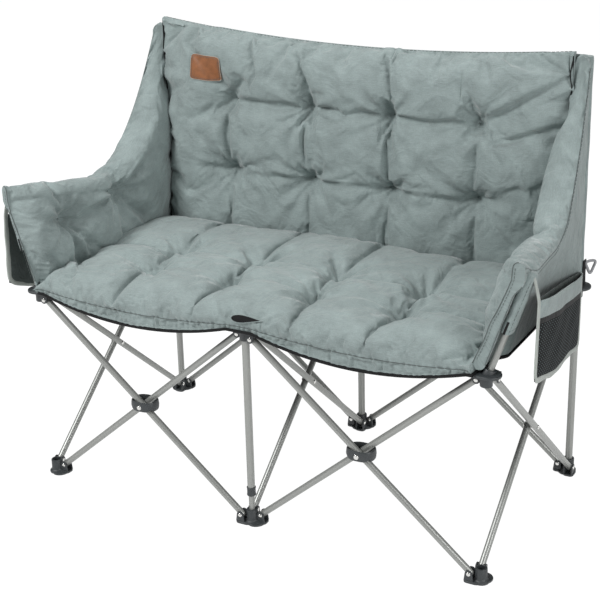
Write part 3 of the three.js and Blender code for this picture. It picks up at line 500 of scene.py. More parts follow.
def powder_coated_steel(name, base):
    """Steel tube with a baked powder coat: an even satin shine over a faint orange-peel grain."""
    made, tree, shader = new_material(name)
    place = add_node(tree, "ShaderNodeTexCoord").outputs["Object"]
    flakes = add_node(tree, "ShaderNodeTexNoise", {"Vector": place, "Scale": 900, "Detail": 1})
    peel = add_node(tree, "ShaderNodeTexNoise", {"Vector": place, "Scale": 140, "Detail": 1})
    bump = add_node(tree, "ShaderNodeBump", {
        "Height": peel.outputs["Fac"], "Strength": 0.03, "Distance": 0.1 * MM})
    fill(tree, shader, {"Base Color": shaded(tree, base, flakes.outputs["Fac"], 0.96, 1.04),
                        "Normal": bump.outputs["Normal"], "Metallic": 0.5, "Roughness": 0.38})
    return made


def moulded_nylon(name, base, roughness=0.48, grain=1.0):
    """Injection-moulded nylon: a fine spark-eroded grain and a dull shine, polished by handling."""
    made, tree, shader = new_material(name)
    place = add_node(tree, "ShaderNodeTexCoord").outputs["Object"]
    spark = add_node(tree, "ShaderNodeTexNoise", {"Vector": place, "Scale": 1400, "Detail": 3})
    wear = add_node(tree, "ShaderNodeTexNoise", {"Vector": place, "Scale": 55, "Detail": 3})
    bump = add_node(tree, "ShaderNodeBump", {
        "Height": spark.outputs["Fac"], "Strength": 0.3 * grain, "Distance": 0.12 * MM})
    gloss = add_node(tree, "ShaderNodeMapRange", {
        "Value": wear.outputs["Fac"], "From Min": 0.3, "From Max": 0.7,
        "To Min": roughness - 0.08, "To Max": roughness + 0.1})
    fill(tree, shader, {"Base Color": shaded(tree, base, wear.outputs["Fac"], 0.86, 1.18),
                        "Roughness": gloss.outputs[0], "Normal": bump.outputs["Normal"], "IOR": 1.53})
    return made


def nickel_plated_steel(name, base):
    """A pressed steel rivet, barrel-plated with nickel: bright, scuffed by the setting tool."""
    made, tree, shader = new_material(name)
    place = add_node(tree, "ShaderNodeTexCoord").outputs["Object"]
    scuff = add_node(tree, "ShaderNodeTexNoise", {"Vector": place, "Scale": 700, "Detail": 3})
    gloss = add_node(tree, "ShaderNodeMapRange", {"Value": scuff.outputs["Fac"], "To Min": 0.14, "To Max": 0.34})
    bump = add_node(tree, "ShaderNodeBump", {
        "Height": scuff.outputs["Fac"], "Strength": 0.2, "Distance": 0.08 * MM})
    fill(tree, shader, {"Base Color": shaded(tree, base, scuff.outputs["Fac"], 0.92, 1.05),
                        "Roughness": gloss.outputs[0], "Normal": bump.outputs["Normal"], "Metallic": 1})
    return made


def knitted_netting(name, base, pitch=7.5 * MM):
    """Warp-knitted polyester netting: slanting rows of paler yarn on dark.

    The real holes are about 2 mm apart, drawn at 6 to 17 mm to show from a step away.
    """
    made, tree, shader = new_material(name)
    uv = add_node(tree, "ShaderNodeUVMap", uv_map="length").outputs["UV"]
    scale = 1 / (pitch * WAVE_TURNS_PER_UNIT)
    narrowed = add_node(tree, "ShaderNodeMapping", {"Vector": uv, "Scale": (0.55, 1, 1)}).outputs[0]
    slant = (0, 0, np.radians(32))
    slanted = add_node(tree, "ShaderNodeMapping", {"Vector": narrowed, "Rotation": slant}).outputs[0]
    along, across = (add_node(tree, "ShaderNodeTexWave", {"Vector": slanted, "Scale": scale * share},
                              bands_direction=way).outputs["Fac"] for way, share in (("X", 0.8), ("Y", 1.3)))
    yarn = add_node(tree, "ShaderNodeMath", {0: along, 1: across}, operation="MULTIPLY").outputs[0]
    lifted = add_node(tree, "ShaderNodeMapRange", {"Value": yarn, "From Min": 0.6, "From Max": 0.85}).outputs[0]
    bump = add_node(tree, "ShaderNodeBump", {"Height": lifted, "Strength": 0.6, "Distance": 0.4 * MM})
    fill(tree, shader, {"Base Color": shaded(tree, base, lifted, 0.15, 9), "Normal": bump.outputs["Normal"],
                        "Roughness": 0.75, "Specular IOR Level": 0.1})
    return made


def tanned_leather(name, base):
    """Vegetable-tanned leather, dyed through and buffed: a pebbled grain and cloudy dye."""
    made, tree, shader = new_material(name)
    place = add_node(tree, "ShaderNodeTexCoord").outputs["Object"]
    pebble = add_node(tree, "ShaderNodeTexVoronoi", {"Vector": place, "Scale": 650})
    dye = add_node(tree, "ShaderNodeTexNoise", {"Vector": place, "Scale": 70, "Detail": 5, "Roughness": 0.65})
    bump = add_node(tree, "ShaderNodeBump", {
        "Height": pebble.outputs["Distance"], "Strength": 0.4, "Distance": 0.3 * MM})
    tone = add_node(tree, "ShaderNodeMapRange", {
        "Value": dye.outputs["Fac"], "From Min": 0.3, "From Max": 0.7}).outputs[0]
    fill(tree, shader, {"Base Color": shaded(tree, base, tone, 0.72, 1.2), "Normal": bump.outputs["Normal"],
                        "Roughness": 0.5})
    return made


MATERIALS = {}


def material(key):
    """The chair's materials, made once and kept by name."""
    if not MATERIALS:
        tones = colours()
        MATERIALS.update(
            cover=woven_polyester("polyester_cover_woven", tones.cloth),
            sling=woven_polyester("polyester_sling_coated", tones.sling, roughness=0.75, sheen=0.03, crease=2 * MM),
            tube=powder_coated_steel("steel_tube_powder_coated", tones.tube),
            moulding=moulded_nylon("nylon_moulded", tones.moulding),
            ring=moulded_nylon("acetal_ring_moulded", tones.ring, 0.4, 0.5),
            rivet=nickel_plated_steel("steel_rivet_nickel_plated", tones.rivet),
            netting=knitted_netting("polyester_netting_knitted", tones.netting),
            binding=woven_polyester("polyester_binding_woven", tones.binding, 1.6 * MM, 0.08, crease=1 * MM),
            # The lining is woven cloth darker than the cover, as painted shade inside the pockets
            lining=woven_polyester("polyester_lining_woven", tones.lining, sheen=0.1),
            leather=tanned_leather("leather_patch_tanned", tones.leather),
            thread=woven_polyester("polyester_thread_twisted", [0.42 * channel for channel in tones.cloth],
                                   0.8 * MM, 0.05, crease=0.2 * MM),
        )
    return MATERIALS[key]


# Padded pieces: shapes, filling and sewing

def fullness(share, power=6.0):
    """How full a pad is from 0 at both ends to 1 between: sqrt(1 - |2s - 1|^power)."""
    return np.sqrt(np.clip(1 - np.abs(2 * np.clip(share, 0, 1) - 1) ** power, 0, 1))


def pressed(across, along, tufts, depth, radius):
    """How deep the tufts pull the cover in: the deepest of depth x exp(-(distance / radius)^2)."""
    press = np.zeros(np.broadcast(across, along).shape)
    for tuft_across, tuft_along in tufts:
        reach = np.hypot(across - tuft_across, along - tuft_along) / radius
        press = np.maximum(press, depth * np.exp(-reach ** 2))
    return press


def refined(grid, axis):
    """A grid with a point added halfway between neighbours on a cubic: (-a + 9b + 9c - d) / 16."""
    values = np.moveaxis(grid, axis, 0)
    padded = np.concatenate([2 * values[:1] - values[1:2], values, 2 * values[-1:] - values[-2:-1]])
    between = (-padded[:-3] + 9 * padded[1:-2] + 9 * padded[2:-1] - padded[3:]) / 16
    result = np.empty((2 * len(values) - 1, *values.shape[1:]))
    result[0::2] = values
    result[1::2] = between
    return np.moveaxis(result, 0, axis)


def filled(name, grid, held, growth, swell, bending=0.4):
    """The cover swollen by its filling: pressure cloth that is cut larger by a share and held at its seams.

    No point moves further than the swell.
    """
    settings = sizes()
    mesh = mesh_from(name, [shell(grid, ends="ladder")], 0)
    trial = bpy.data.objects.new(name, mesh)
    bpy.context.scene.collection.objects.link(trial)
    group = trial.vertex_groups.new(name="held")
    for weight in np.unique(held[held > 0]):
        group.add(np.flatnonzero(held.ravel() == weight).tolist(), float(weight), "REPLACE")
    cloth = trial.modifiers.new("filling", "CLOTH")
    for key, value in {
        "quality": 5, "mass": 0.3, "tension_stiffness": 12, "compression_stiffness": 12, "shear_stiffness": 4,
        "bending_stiffness": bending, "air_damping": 3, "use_pressure": True,
        "uniform_pressure_force": settings.pressure, "shrink_min": -growth, "vertex_group_mass": "held",
    }.items():
        setattr(cloth.settings, key, value)
    cloth.settings.effector_weights.gravity = 0
    cloth.collision_settings.use_collision = False
    cloth.point_cache.frame_end = settings.frames
    scene = bpy.context.scene
    for step in range(1, settings.frames + 1):
        scene.frame_set(step)
    done = trial.evaluated_get(bpy.context.evaluated_depsgraph_get())
    flat = np.empty(len(done.data.vertices) * 3, np.float32)
    done.data.vertices.foreach_get("co", flat)
    scene.frame_set(1)
    moved = flat.reshape(grid.shape).astype(float) - grid
    length = np.linalg.norm(moved, axis=2, keepdims=True)
    bpy.data.objects.remove(trial)
    bpy.data.meshes.remove(mesh)
    return grid + moved * (swell * np.tanh(length / swell) / np.maximum(length, 1e-9))


def pad_faces(grid):
    """A pad's final surface, with twice the points of the simulated one each way and columns that wrap."""
    grid = refined(grid, 0)
    return refined(np.hstack([grid[:, -2:], grid, grid[:, :2]]), 1)[:, 4:4 + 2 * grid.shape[1]]


def stitches(path, length, radius, share=0.62):
    """A row of thread stitches along a path, each a rod over a share of the stitch's length."""
    steps = lengths_along(path[:, None])
    count = max(1, int(steps[-1] / length))
    begins, ends = (
        np.stack([np.interp((np.arange(count) + 0.5 + reach) * steps[-1] / count, steps, path[:, k])
                  for k in range(3)], axis=1)
        for reach in (-share / 2, share / 2))
    return [rod(a, b, radius, sides=6, cap_steps=2) for a, b in zip(begins, ends)]


TUFT_COLUMNS = np.array([-300, -100, 100, 300]) * MM
SEAT_ROWS = SEAT_LOW.y + np.array([0.3, 0.52]) * (SEAT_REAR - SEAT_LOW.y)
BACK_ROWS = BACK_LOW.z + np.array([0.34, 0.67]) * (BACK_HIGH.z - BACK_LOW.z)
SEAT_TUFTS = [(column, row) for row in SEAT_ROWS for column in TUFT_COLUMNS]
BACK_TUFTS = [(column, row) for row in BACK_ROWS for column in TUFT_COLUMNS]


# Seat

SHEET = 2.5 * MM
SLING_SAG = 34 * MM
SLING_UNDER = HUB_TOP + GAP
SEAT_UNDER = SLING_UNDER + SHEET + GAP
SEAT_THICKNESS = 52 * MM
SEAT_STRIP = 27 * MM
SEAT_LIP = 8 * MM
SEAT_LEFT_REACH = 14 * MM
SEAT_FRONT = SEAT_LOW.y


def sling_drop(x):
    """How far the sling hangs at x: 0 over each hub, and sag x (1 - (1 - s)^2) on the way between them."""
    from_hub = np.abs(x - BAY * np.round(x / BAY))
    free = np.maximum(0, from_hub - PLATE_RADIUS) / (BAY / 2 - PLATE_RADIUS)
    return SLING_SAG * (1 - (1 - free) ** 2)


def crease_lines(across, along, lines, radius, skew=0.0):
    """Folds along straight lines: each is depth x exp(-(offset / radius)^2), deepest at its two ends.

    A line is its start, its end, its depth at the ends and its share of that depth in the middle. With a skew
    the fold is narrower on its left side and wider on its right: radius x (1 - skew x tanh(offset / radius)).
    """
    press = np.zeros(np.broadcast(across, along).shape)
    for (x1, y1), (x2, y2), depth, middle in lines:
        length = np.hypot(x2 - x1, y2 - y1)
        ux, uy = (x2 - x1) / length, (y2 - y1) / length
        s = np.clip(((across - x1) * ux + (along - y1) * uy) / length, 0, 1)
        off = np.hypot(across - x1 - s * length * ux, along - y1 - s * length * uy)
        strength = middle + (1 - middle) * np.abs(2 * s - 1) ** 1.6
        beside = (along - y1) * ux - (across - x1) * uy
        reach = radius * (1 - skew * np.tanh(beside / radius))
        press = np.maximum(press, depth * strength * np.exp(-((off / reach) ** 2)))
    return press


def gathers(across, along, tufts, seed, height=3.2 * MM, reach=48 * MM):
    """Fine folds that run out from each tuft: height x r e^(1 - 1.25 r) x a wavy sine of the angle."""
    fold = np.zeros(np.broadcast(across, along).shape)
    chance = np.random.default_rng(seed)
    for tuft_across, tuft_along in tufts:
        dx, dy = across - tuft_across, along - tuft_along
        r = np.hypot(dx, dy) / reach
        angle = np.arctan2(dy, dx)
        count = chance.integers(7, 11)
        turn, sway = chance.uniform(0, 6.28, 2)
        wave = np.sin(count * angle + turn + 0.9 * np.sin(2 * angle + sway))
        wave += 0.5 * np.sin((count + 5) * angle + sway)
        fold += height * r * np.exp(1 - r * 1.25) * wave
    return fold


def seat_creases():
    """Folds on the seat: between its tufts, forward to the front seam and back to the rear edge."""
    lines = []
    for row in SEAT_ROWS:
        lines += [((a, row), (b, row), 13 * MM, 0.35) for a, b in zip(TUFT_COLUMNS[:-1], TUFT_COLUMNS[1:])]
        lines += [((side * 300 * MM, row), (side * 470 * MM, row + 10 * MM), 9 * MM, 0.5) for side in (-1, 1)]
    for column in TUFT_COLUMNS:
        lines.append(((column, SEAT_ROWS[0]), (column, SEAT_ROWS[1]), 14 * MM, 0.6))
        lines.append(((column, SEAT_ROWS[1]), (column * 1.02, 150 * MM), 10 * MM, 0.45))
    for column, reach in ((-300, -306), (300, 276), (-100, -112), (100, 118)):
        lines.append(((column * MM, SEAT_ROWS[0]), (reach * MM, SEAT_FRONT + 8 * MM), 13 * MM, 0.6))
    return lines


def seat_shape():
    """The seat as rings across X: up the front strip, over the tufted top to the rear and back below.

    The top is underside - sag + lip + (thickness - lip) x fullness - folds, and the strip is as high as the lip.
    """
    cell = sizes().cell
    half = SEAT_HIGH.x + 15 * MM
    x = np.linspace(-half - SEAT_LEFT_REACH, half, int(2 * half / cell))[:, None]
    depth = SEAT_REAR + 14 * MM - SEAT_FRONT
    share = np.linspace(0, 1, int(depth / cell))
    share = (share - 0.05 * np.sin(2 * np.pi * share))[None]
    y = SEAT_FRONT + depth * share
    drop = sling_drop(x)
    lip = SEAT_LIP + (SEAT_STRIP - SEAT_LIP) * drop / SLING_SAG
    full = np.where(share < 0.5, fullness(share, 5), fullness(share, 12))
    full = fullness((x - x[0]) / (x[-1] - x[0]), 9) * full
    press = np.maximum(pressed(x, y, SEAT_TUFTS, 33 * MM, 26 * MM),
                       crease_lines(x, y, seat_creases(), 13 * MM)) * full
    top = SEAT_UNDER - drop * (1 - 0.8 * full) + lip + (SEAT_THICKNESS - lip - 2 * MM) * full - press
    strip_share = np.linspace(0, 1, 6)[None, :-1]
    strip = lattice(x, SEAT_FRONT + 3 * MM * (1 - strip_share), SEAT_UNDER - drop + lip * strip_share)
    below_share = np.linspace(1, 0, 15)[None, :-1]
    below = lattice(x, SEAT_FRONT + 3 * MM + (depth - 3 * MM) * below_share, SEAT_UNDER - drop)
    grid = np.hstack([strip, lattice(x, y, top), below])
    held = np.zeros(grid.shape[:2])
    strip_count, top_count = strip.shape[1], y.shape[1]
    held[:, 0] = held[:, strip_count + top_count:] = held[0] = held[-1] = 1
    held[:, strip_count] = 0.85
    held[:, strip_count + top_count - 1] = 0.6
    hold_tufts(held[:, strip_count:strip_count + top_count], x, y, SEAT_TUFTS)
    return grid, held, strip_count, top_count


def along_normals(grid):
    """Unit normals of a grid whose columns wrap: its two directions' cross product, facing out."""
    down = np.gradient(grid, axis=0)
    across = np.roll(grid, -1, axis=1) - np.roll(grid, 1, axis=1)
    normals = np.cross(across, down)
    normals /= np.maximum(np.linalg.norm(normals, axis=2, keepdims=True), 1e-12)
    middle = grid.mean(axis=(0, 1))
    return normals if np.einsum("ijk,ijk->", normals, grid - middle) > 0 else -normals


def half_seat(name, grid, normals, columns, body, wall_bend):
    """One half of the seat, closed by an inner wall and shaded as if the seat were whole."""
    ring = grid[:, columns]
    share = np.linspace(0, 1, 5)[1:-1]
    wall = ring[:, -1:] + (ring[:, :1] - ring[:, -1:]) * share[None, :, None]
    wall[..., 1] += wall_bend * np.sin(np.pi * share)[None]
    made = soft_piece(name, [shell(np.hstack([ring, wall]), ends="ladder")], "cover", body)
    mesh = made.data
    width = ring.shape[1] + wall.shape[1]
    flat = np.empty(len(mesh.loops) * 3, np.float32)
    mesh.corner_normals.foreach_get("vector", flat)
    corner = flat.reshape(-1, 3)
    vertex = np.empty(len(mesh.loops), np.int32)
    mesh.loops.foreach_get("vertex_index", vertex)
    column = vertex % width
    edge = (column == 0) | (column == ring.shape[1] - 1)
    per_face = np.empty(len(mesh.polygons), np.int32)
    mesh.polygons.foreach_get("loop_total", per_face)
    face = np.repeat(np.arange(len(per_face)), per_face)
    beyond = np.bincount(face, (column >= ring.shape[1]).astype(float)) > 0
    closing = np.bincount(face, edge.astype(float)) == per_face
    use = edge & ~beyond[face] & ~closing[face] & (vertex < width * len(ring))
    whole = vertex // width * ring.shape[1] + column % ring.shape[1]
    corner[use] = normals[:, columns].reshape(-1, 3)[whole[use]]
    mesh.normals_split_custom_set(corner.tolist())
    return made


def soft_piece(name, shells, key, body):
    """A cloth piece on a body of the frame, with a mesh of its own."""
    made = piece(name, shells, key, body, 60)
    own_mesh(made)
    return made


def hold_tufts(held, across, along, tufts):
    """Holds the cloth wherever it is within 0.8 of a cell of a tuft."""
    for tuft_across, tuft_along in tufts:
        held[np.hypot(across - tuft_across, along - tuft_along) < sizes().cell * 0.8] = 1


def seam_line(grid, normals, column, lift, rounds):
    """A smoothed line that lies a little off one column of a cushion."""
    return smoothed(grid[2:-2, column] + normals[2:-2, column] * lift, rounds)


def knots(points, normals, size=3.2 * MM):
    """A small cross of thread at each tuft, lying on the cloth."""
    shells = []
    for point, normal in zip(points, normals):
        first = unit(np.cross(normal, (0.3, 0.9, 0.2)))
        lifted = point + normal * 0.6 * MM
        for direction in (first, np.cross(normal, first)):
            shells.append(rod(lifted - direction * size, lifted + direction * size, 0.7 * MM, 6, 2))
    return shells


def nearest(grid, places, axes):
    """The rows and columns of the grid points nearest to places on two axes."""
    found = []
    for place in places:
        off = np.hypot(grid[..., axes[0]] - place[0], grid[..., axes[1]] - place[1])
        found.append(np.unravel_index(np.argmin(off), off.shape))
    return tuple(np.array(found).T)


def seat():
    """The quilted seat in two halves, with its seam, tuft threads and slot over the middle hub."""
    settings = sizes()
    grid, held, strip_count, top_count = seat_shape()
    under = grid[:, strip_count + top_count:].copy()
    grid = filled("seat_trial", grid, held, settings.slack, settings.swell)
    grid[:, strip_count + top_count:] = under
    top = slice(strip_count, strip_count + top_count)
    grid[:, top, 2] += gathers(grid[:, top, 0], grid[:, top, 1], SEAT_TUFTS, 3) * fullness(
        np.linspace(0, 1, top_count), 4)[None]
    grid = pad_faces(grid)
    normals = along_normals(grid)
    seam = 2 * strip_count
    grid[:, seam] -= normals[:, seam] * 2.2 * MM
    top_columns = np.arange(2 * strip_count, 2 * (strip_count + top_count))
    cut_top = top_columns[np.argmin(np.abs(grid[len(grid) // 2, top_columns, 1]))]
    low_columns = np.arange(2 * (strip_count + top_count) + 2, grid.shape[1])
    cut_low = low_columns[np.argmin(np.abs(grid[len(grid) // 2, low_columns, 1]))]
    grid[:, cut_low, 1] = grid[:, cut_top, 1]
    front_columns = np.concatenate([np.arange(cut_low, grid.shape[1]), np.arange(0, cut_top + 1)])
    front = half_seat("seat_cushion_front", grid, normals, front_columns, "seat_front", -1.5 * MM)
    rear = half_seat("seat_cushion_rear", grid, normals, np.arange(cut_top, cut_low + 1), "seat_rear", 1.5 * MM)
    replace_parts(front, "seat_pad_front")
    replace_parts(rear, "seat_pad_rear")
    tufts = nearest(grid[:, top_columns], SEAT_TUFTS, (0, 1))
    places, facing = grid[:, top_columns][tufts], normals[:, top_columns][tufts]
    soft_piece("seat_tuft_threads", knots(places, facing), "thread", "seat_front")
    line = seam_line(grid, normals, seam, 0.8 * MM, 10)
    soft_piece("seat_front_seam", [swept(line, round_section(0.9 * MM, 8))], "thread", "seat_front")
    slot_over_hub(grid, normals, seam)


def fitted(points, centre, axes, inner):
    """Heights of a surface over a plane: a + bu + cv + duv + eu^2 + fv^2, raised to clear what stands out.

    The axes are the plane's two directions and its outward normal. What comes back gives a height at (u, v).
    """
    offsets = (points - centre) @ np.stack(axes).T
    near = (np.hypot(offsets[:, 0], offsets[:, 1]) < inner * 1.5) & (np.abs(offsets[:, 2]) < inner)
    u, v, height = offsets[near].T
    terms = lambda a, b: np.stack([a ** 0, a, b, a * b, a ** 2, b ** 2], axis=-1)
    fit, *_ = np.linalg.lstsq(terms(u, v), height, rcond=None)
    inside = np.hypot(u, v) < inner
    proud = max(0.0, (height - terms(u, v) @ fit)[inside].max())
    return lambda a, b: terms(a, b) @ fit + proud


def slot_over_hub(grid, normals, seam):
    """A drop-shaped opening in the front puff over the middle hub, with a pale rolled rim.

    Its outline is (29 cos t, 10 sin t (1 - 0.8 cos t) / 1.5 + 2.4 cos t) mm, bent over the cushion.
    """
    row = int(np.argmin(np.abs(grid[:, seam, 0] - 24 * MM)))
    rise = grid[row, seam:seam + 30, 2] - grid[row, seam, 2]
    column = seam + int(np.argmax(rise > 17 * MM))
    centre, out = grid[row, column], normals[row, column]
    along = unit(np.array([1.0, 0, 0]) - out * out[0])
    upward = np.cross(out, along) * np.sign(np.cross(out, along)[2])
    surface = fitted(grid[:, seam:seam + 60].reshape(-1, 3), centre, (along, upward, out), 34 * MM)
    turn = ring_angles(48)
    across = 29 * MM * np.cos(turn)
    up = 10 * MM * np.sin(turn) * (1 - 0.8 * np.cos(turn)) / 1.5 + 2.4 * MM * np.cos(turn)

    def laid(share, lift):
        u, v = across * share, up * share
        return centre + u[:, None] * along + v[:, None] * upward + (surface(u, v) + lift)[:, None] * out

    rings = [laid(share, lift) for share, lift in (
        (0.4, -4 * MM), (0.95, -4 * MM), (1.0, 0.5 * MM), (0.9, 0.9 * MM), (0.4, 0.6 * MM))]
    soft_piece("seat_slot_lining", [shell(np.stack(rings))], "sling", "seat_front")
    soft_piece("seat_slot_rim", [looped(laid(1.03, 0.6 * MM), out, round_section(1.2 * MM, 8))], "cover",
               "seat_front")


def looped(path, normal, section):
    """A section carried round a closed flat path whose plane has the given normal."""
    sides = np.cross(unit(np.roll(path, -1, 0) - np.roll(path, 1, 0)), normal)
    return carried(path, sides[:, None], np.asarray(normal), section, "ring")


def sling():
    """The black sling under the seat in two halves, sagging between the hubs, with a rolled edge."""
    for half in ("front", "rear"):
        low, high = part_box(f"seat_sling_{half}")
        x = np.linspace(low.x, high.x, 160)[:, None]
        y = low.y + (high.y - low.y) * np.linspace(0, 1, 26)[None]
        drop = sling_drop(x)
        ripple = 0.3 * MM * np.sin(x / (9 * MM)) * np.sin(y / (31 * MM))
        under = lattice(x, y, SLING_UNDER - drop + 0.4 * MM + ripple)
        over = lattice(x, y, SLING_UNDER + 2.1 * MM - drop + ripple)
        body = f"seat_{half}"
        made = soft_piece(f"seat_sling_cloth_{half}", [thin_sheet(under, over)], "sling", body)
        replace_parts(made, f"seat_sling_{half}")
        edge_y = low.y + 1 * MM if half == "front" else high.y - 1 * MM
        line = lattice(x[:, 0], edge_y, SLING_UNDER + 1.2 * MM - drop[:, 0])
        soft_piece(f"seat_sling_hem_{half}", [swept(line, oval(3.2 * MM, 3.3 * MM))], "sling", body)


# Back

BACK_REAR = BACK_HIGH.y
BACK_DIP = 29 * MM
BACK_LIFT = 3 * MM
BACK_TILT = 5 * MM
BACK_THICKNESS = 58 * MM
BACK_EDGE = 16 * MM


def back_top(x):
    """The top edge's height at x: a parabola that hangs by the dip, and is a little higher on the left."""
    share = x / BACK_HIGH.x
    return BACK_HIGH.z + BACK_LIFT - BACK_DIP * (1 - share ** 2) - BACK_TILT * share


def back_creases():
    """Folds on the back: between its tufts, below them, and slack folds up to its edges."""
    low, high = BACK_ROWS
    lines = []
    for row, depth, middle in ((low, 12 * MM, 0.4), (high, 22 * MM, 0.6)):
        lines += [((a, row), (b, row), depth, middle) for a, b in zip(TUFT_COLUMNS[:-1], TUFT_COLUMNS[1:])]
    for column in TUFT_COLUMNS:
        lines.append(((column, low), (column * 1.03, high), 15 * MM, 0.4))
        lines.append(((column, low), (column * 1.01, BACK_LOW.z + 12 * MM), 14 * MM, 0.5))
    for x1, row, x2, z2, depth, middle in (
        (-300, high, -340, 838, 17, 0.9), (-340, high + 54 * MM, -402, 905, 14, 0.8),
        (-252, 912 * MM, -231, 851, 9, 0.8), (-160, 893 * MM, -192, 852, 8, 0.8),
        (-119, 880 * MM, -100, 823, 8, 0.8), (96, 880 * MM, 107, 828, 6, 0.8),
        (300, high, 494, 902, 21, 0.85), (334, high + 12 * MM, 492, 868, 14, 0.8),
        (462, 760 * MM, 494, 800, 9, 0.8), (440, 663 * MM, 476, 690, 8, 0.8),
        (350, high - 30 * MM, 486, 800, 8, 0.7), (-300, low, -400, 570, 9, 0.5), (-300, low, -372, 700, 7, 0.4),
        (300, low, 400, 660, 9, 0.5), (300, low, 392, 540, 9, 0.5), (-300, high, -392, 740, 6, 0.4),
    ):
        lines.append(((x1 * MM, row), (x2 * MM, z2 * MM), depth * MM, middle))
    return lines


def back_shape():
    """The back as rings across X: up the tufted front, over the top edge and down the flat rear.

    The front is rear - edge - (thickness - edge) x fullness + folds x fullness, sunk further at the upper sides.
    """
    cell = sizes().cell
    half = BACK_HIGH.x + 11 * MM
    x = np.linspace(-half, half, int(2 * half / cell))[:, None]
    top = back_top(x)
    share = np.linspace(0, 1, int((BACK_HIGH.z - BACK_LOW.z) / cell))
    share = (share - 0.03 * np.sin(2 * np.pi * share))[None]
    z = BACK_LOW.z + (top - BACK_LOW.z) * share
    full = np.where(share < 0.5, fullness(share, 15), fullness(share, 4.5))
    full = fullness((x + half) / (2 * half), 9) * full
    press = np.maximum(pressed(x, z, BACK_TUFTS, 40 * MM, 26 * MM),
                       crease_lines(x, z, back_creases(), 15 * MM, 0.45)) * full
    lower = 8 * MM * np.clip((0.3 - share) / 0.3, 0, 1)
    sunk = 15 * MM * smooth_step((z - 650 * MM) / (200 * MM)) * smooth_step((np.abs(x) - 350 * MM) / (120 * MM))
    y = BACK_REAR - BACK_EDGE - (BACK_THICKNESS - BACK_EDGE - 3 * MM) * full - lower + press + sunk * full
    front = lattice(x, y, z)
    edge_share = np.array([0.25, 0.5, 0.75])[None]
    edge = lattice(x, BACK_REAR - BACK_EDGE * (1 - edge_share), top + 3 * MM * np.sin(np.pi * edge_share))
    rear = lattice(x, BACK_REAR, BACK_LOW.z + (top - BACK_LOW.z) * np.linspace(1, 0, 26)[None])
    grid = np.hstack([front, edge, rear])
    front_count = front.shape[1]
    held = np.zeros(grid.shape[:2])
    held[:, front_count + 1:] = held[0] = held[-1] = 1
    held[:, 0] = 0.7
    hold_tufts(held[:, :front_count], x, z, BACK_TUFTS)
    return grid, held, front_count


SURFACES = {}


def back():
    """The quilted back with its tuft threads, its top seam and its patch."""
    settings = sizes()
    grid, held, front_count = back_shape()
    flat = grid[:, front_count + 3:].copy()
    grid = filled("back_trial", grid, held, settings.slack * 0.8, settings.swell, 0.7)
    grid[:, front_count + 3:] = flat
    front = slice(0, front_count)
    x, z = grid[:, front, 0], grid[:, front, 2]
    grid[:, front, 1] += gathers(x, z, BACK_TUFTS, 5) * fullness(np.linspace(0, 1, front_count), 6)[None]
    upper = np.clip((z - 800 * MM) / (70 * MM), 0, 1)
    grid[:, front, 1] += upper * 1.6 * MM * np.sin(x / (11 * MM) + 2 * np.sin(x / (63 * MM)) + z / (50 * MM))
    beside = np.exp(-((BACK_HIGH.x + 4 * MM - np.abs(x)) / (38 * MM)) ** 2)
    grid[:, front, 1] += 2.4 * MM * beside * np.sin(z / (8.5 * MM) + 2 * np.sin(z / (41 * MM)))
    grid = pad_faces(grid)
    normals = along_normals(grid)
    made = soft_piece("back_cushion", [shell(grid, ends="ladder")], "cover", "foot_rear_centre")
    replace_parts(made, "back_pad")
    face = slice(0, 2 * front_count)
    tufts = nearest(grid[:, face], BACK_TUFTS, (0, 2))
    soft_piece("back_tuft_threads", knots(grid[:, face][tufts], normals[:, face][tufts]), "thread",
               "foot_rear_centre")
    line = seam_line(grid, normals, 2 * front_count + 2, 0.4 * MM, 4)
    soft_piece("back_top_stitches", stitches(line, settings.stitch * 2, settings.thread), "thread",
               "foot_rear_centre")
    SURFACES["back"] = grid[:, face]
    patch(grid[:, face])


def smoothed(path, rounds):
    """A path drawn some rounds towards (a + 2b + c) / 4 of each point and its neighbours, its ends kept."""
    path = path.copy()
    for _ in range(rounds):
        path[1:-1] = (path[:-2] + 2 * path[1:-1] + path[2:]) / 4
    return path


def lying_on(points, x, z, reach=7 * MM):
    """How far forward a cushion comes at each place: its least y within a reach, evened out."""
    near = points[np.hypot(points[:, 0] - x.mean(), points[:, 2] - z.mean()) < 60 * MM]
    off = np.hypot(x[..., None] - near[:, 0], z[..., None] - near[:, 2])
    ahead = np.where(off < reach, near[:, 1], 1.0).min(axis=-1)
    for _ in range(40):
        wide = np.pad(ahead, 1, mode="edge")
        ahead = (4 * ahead + wide[:-2, 1:-1] + wide[2:, 1:-1] + wide[1:-1, :-2] + wide[1:-1, 2:]) / 8
    return ahead


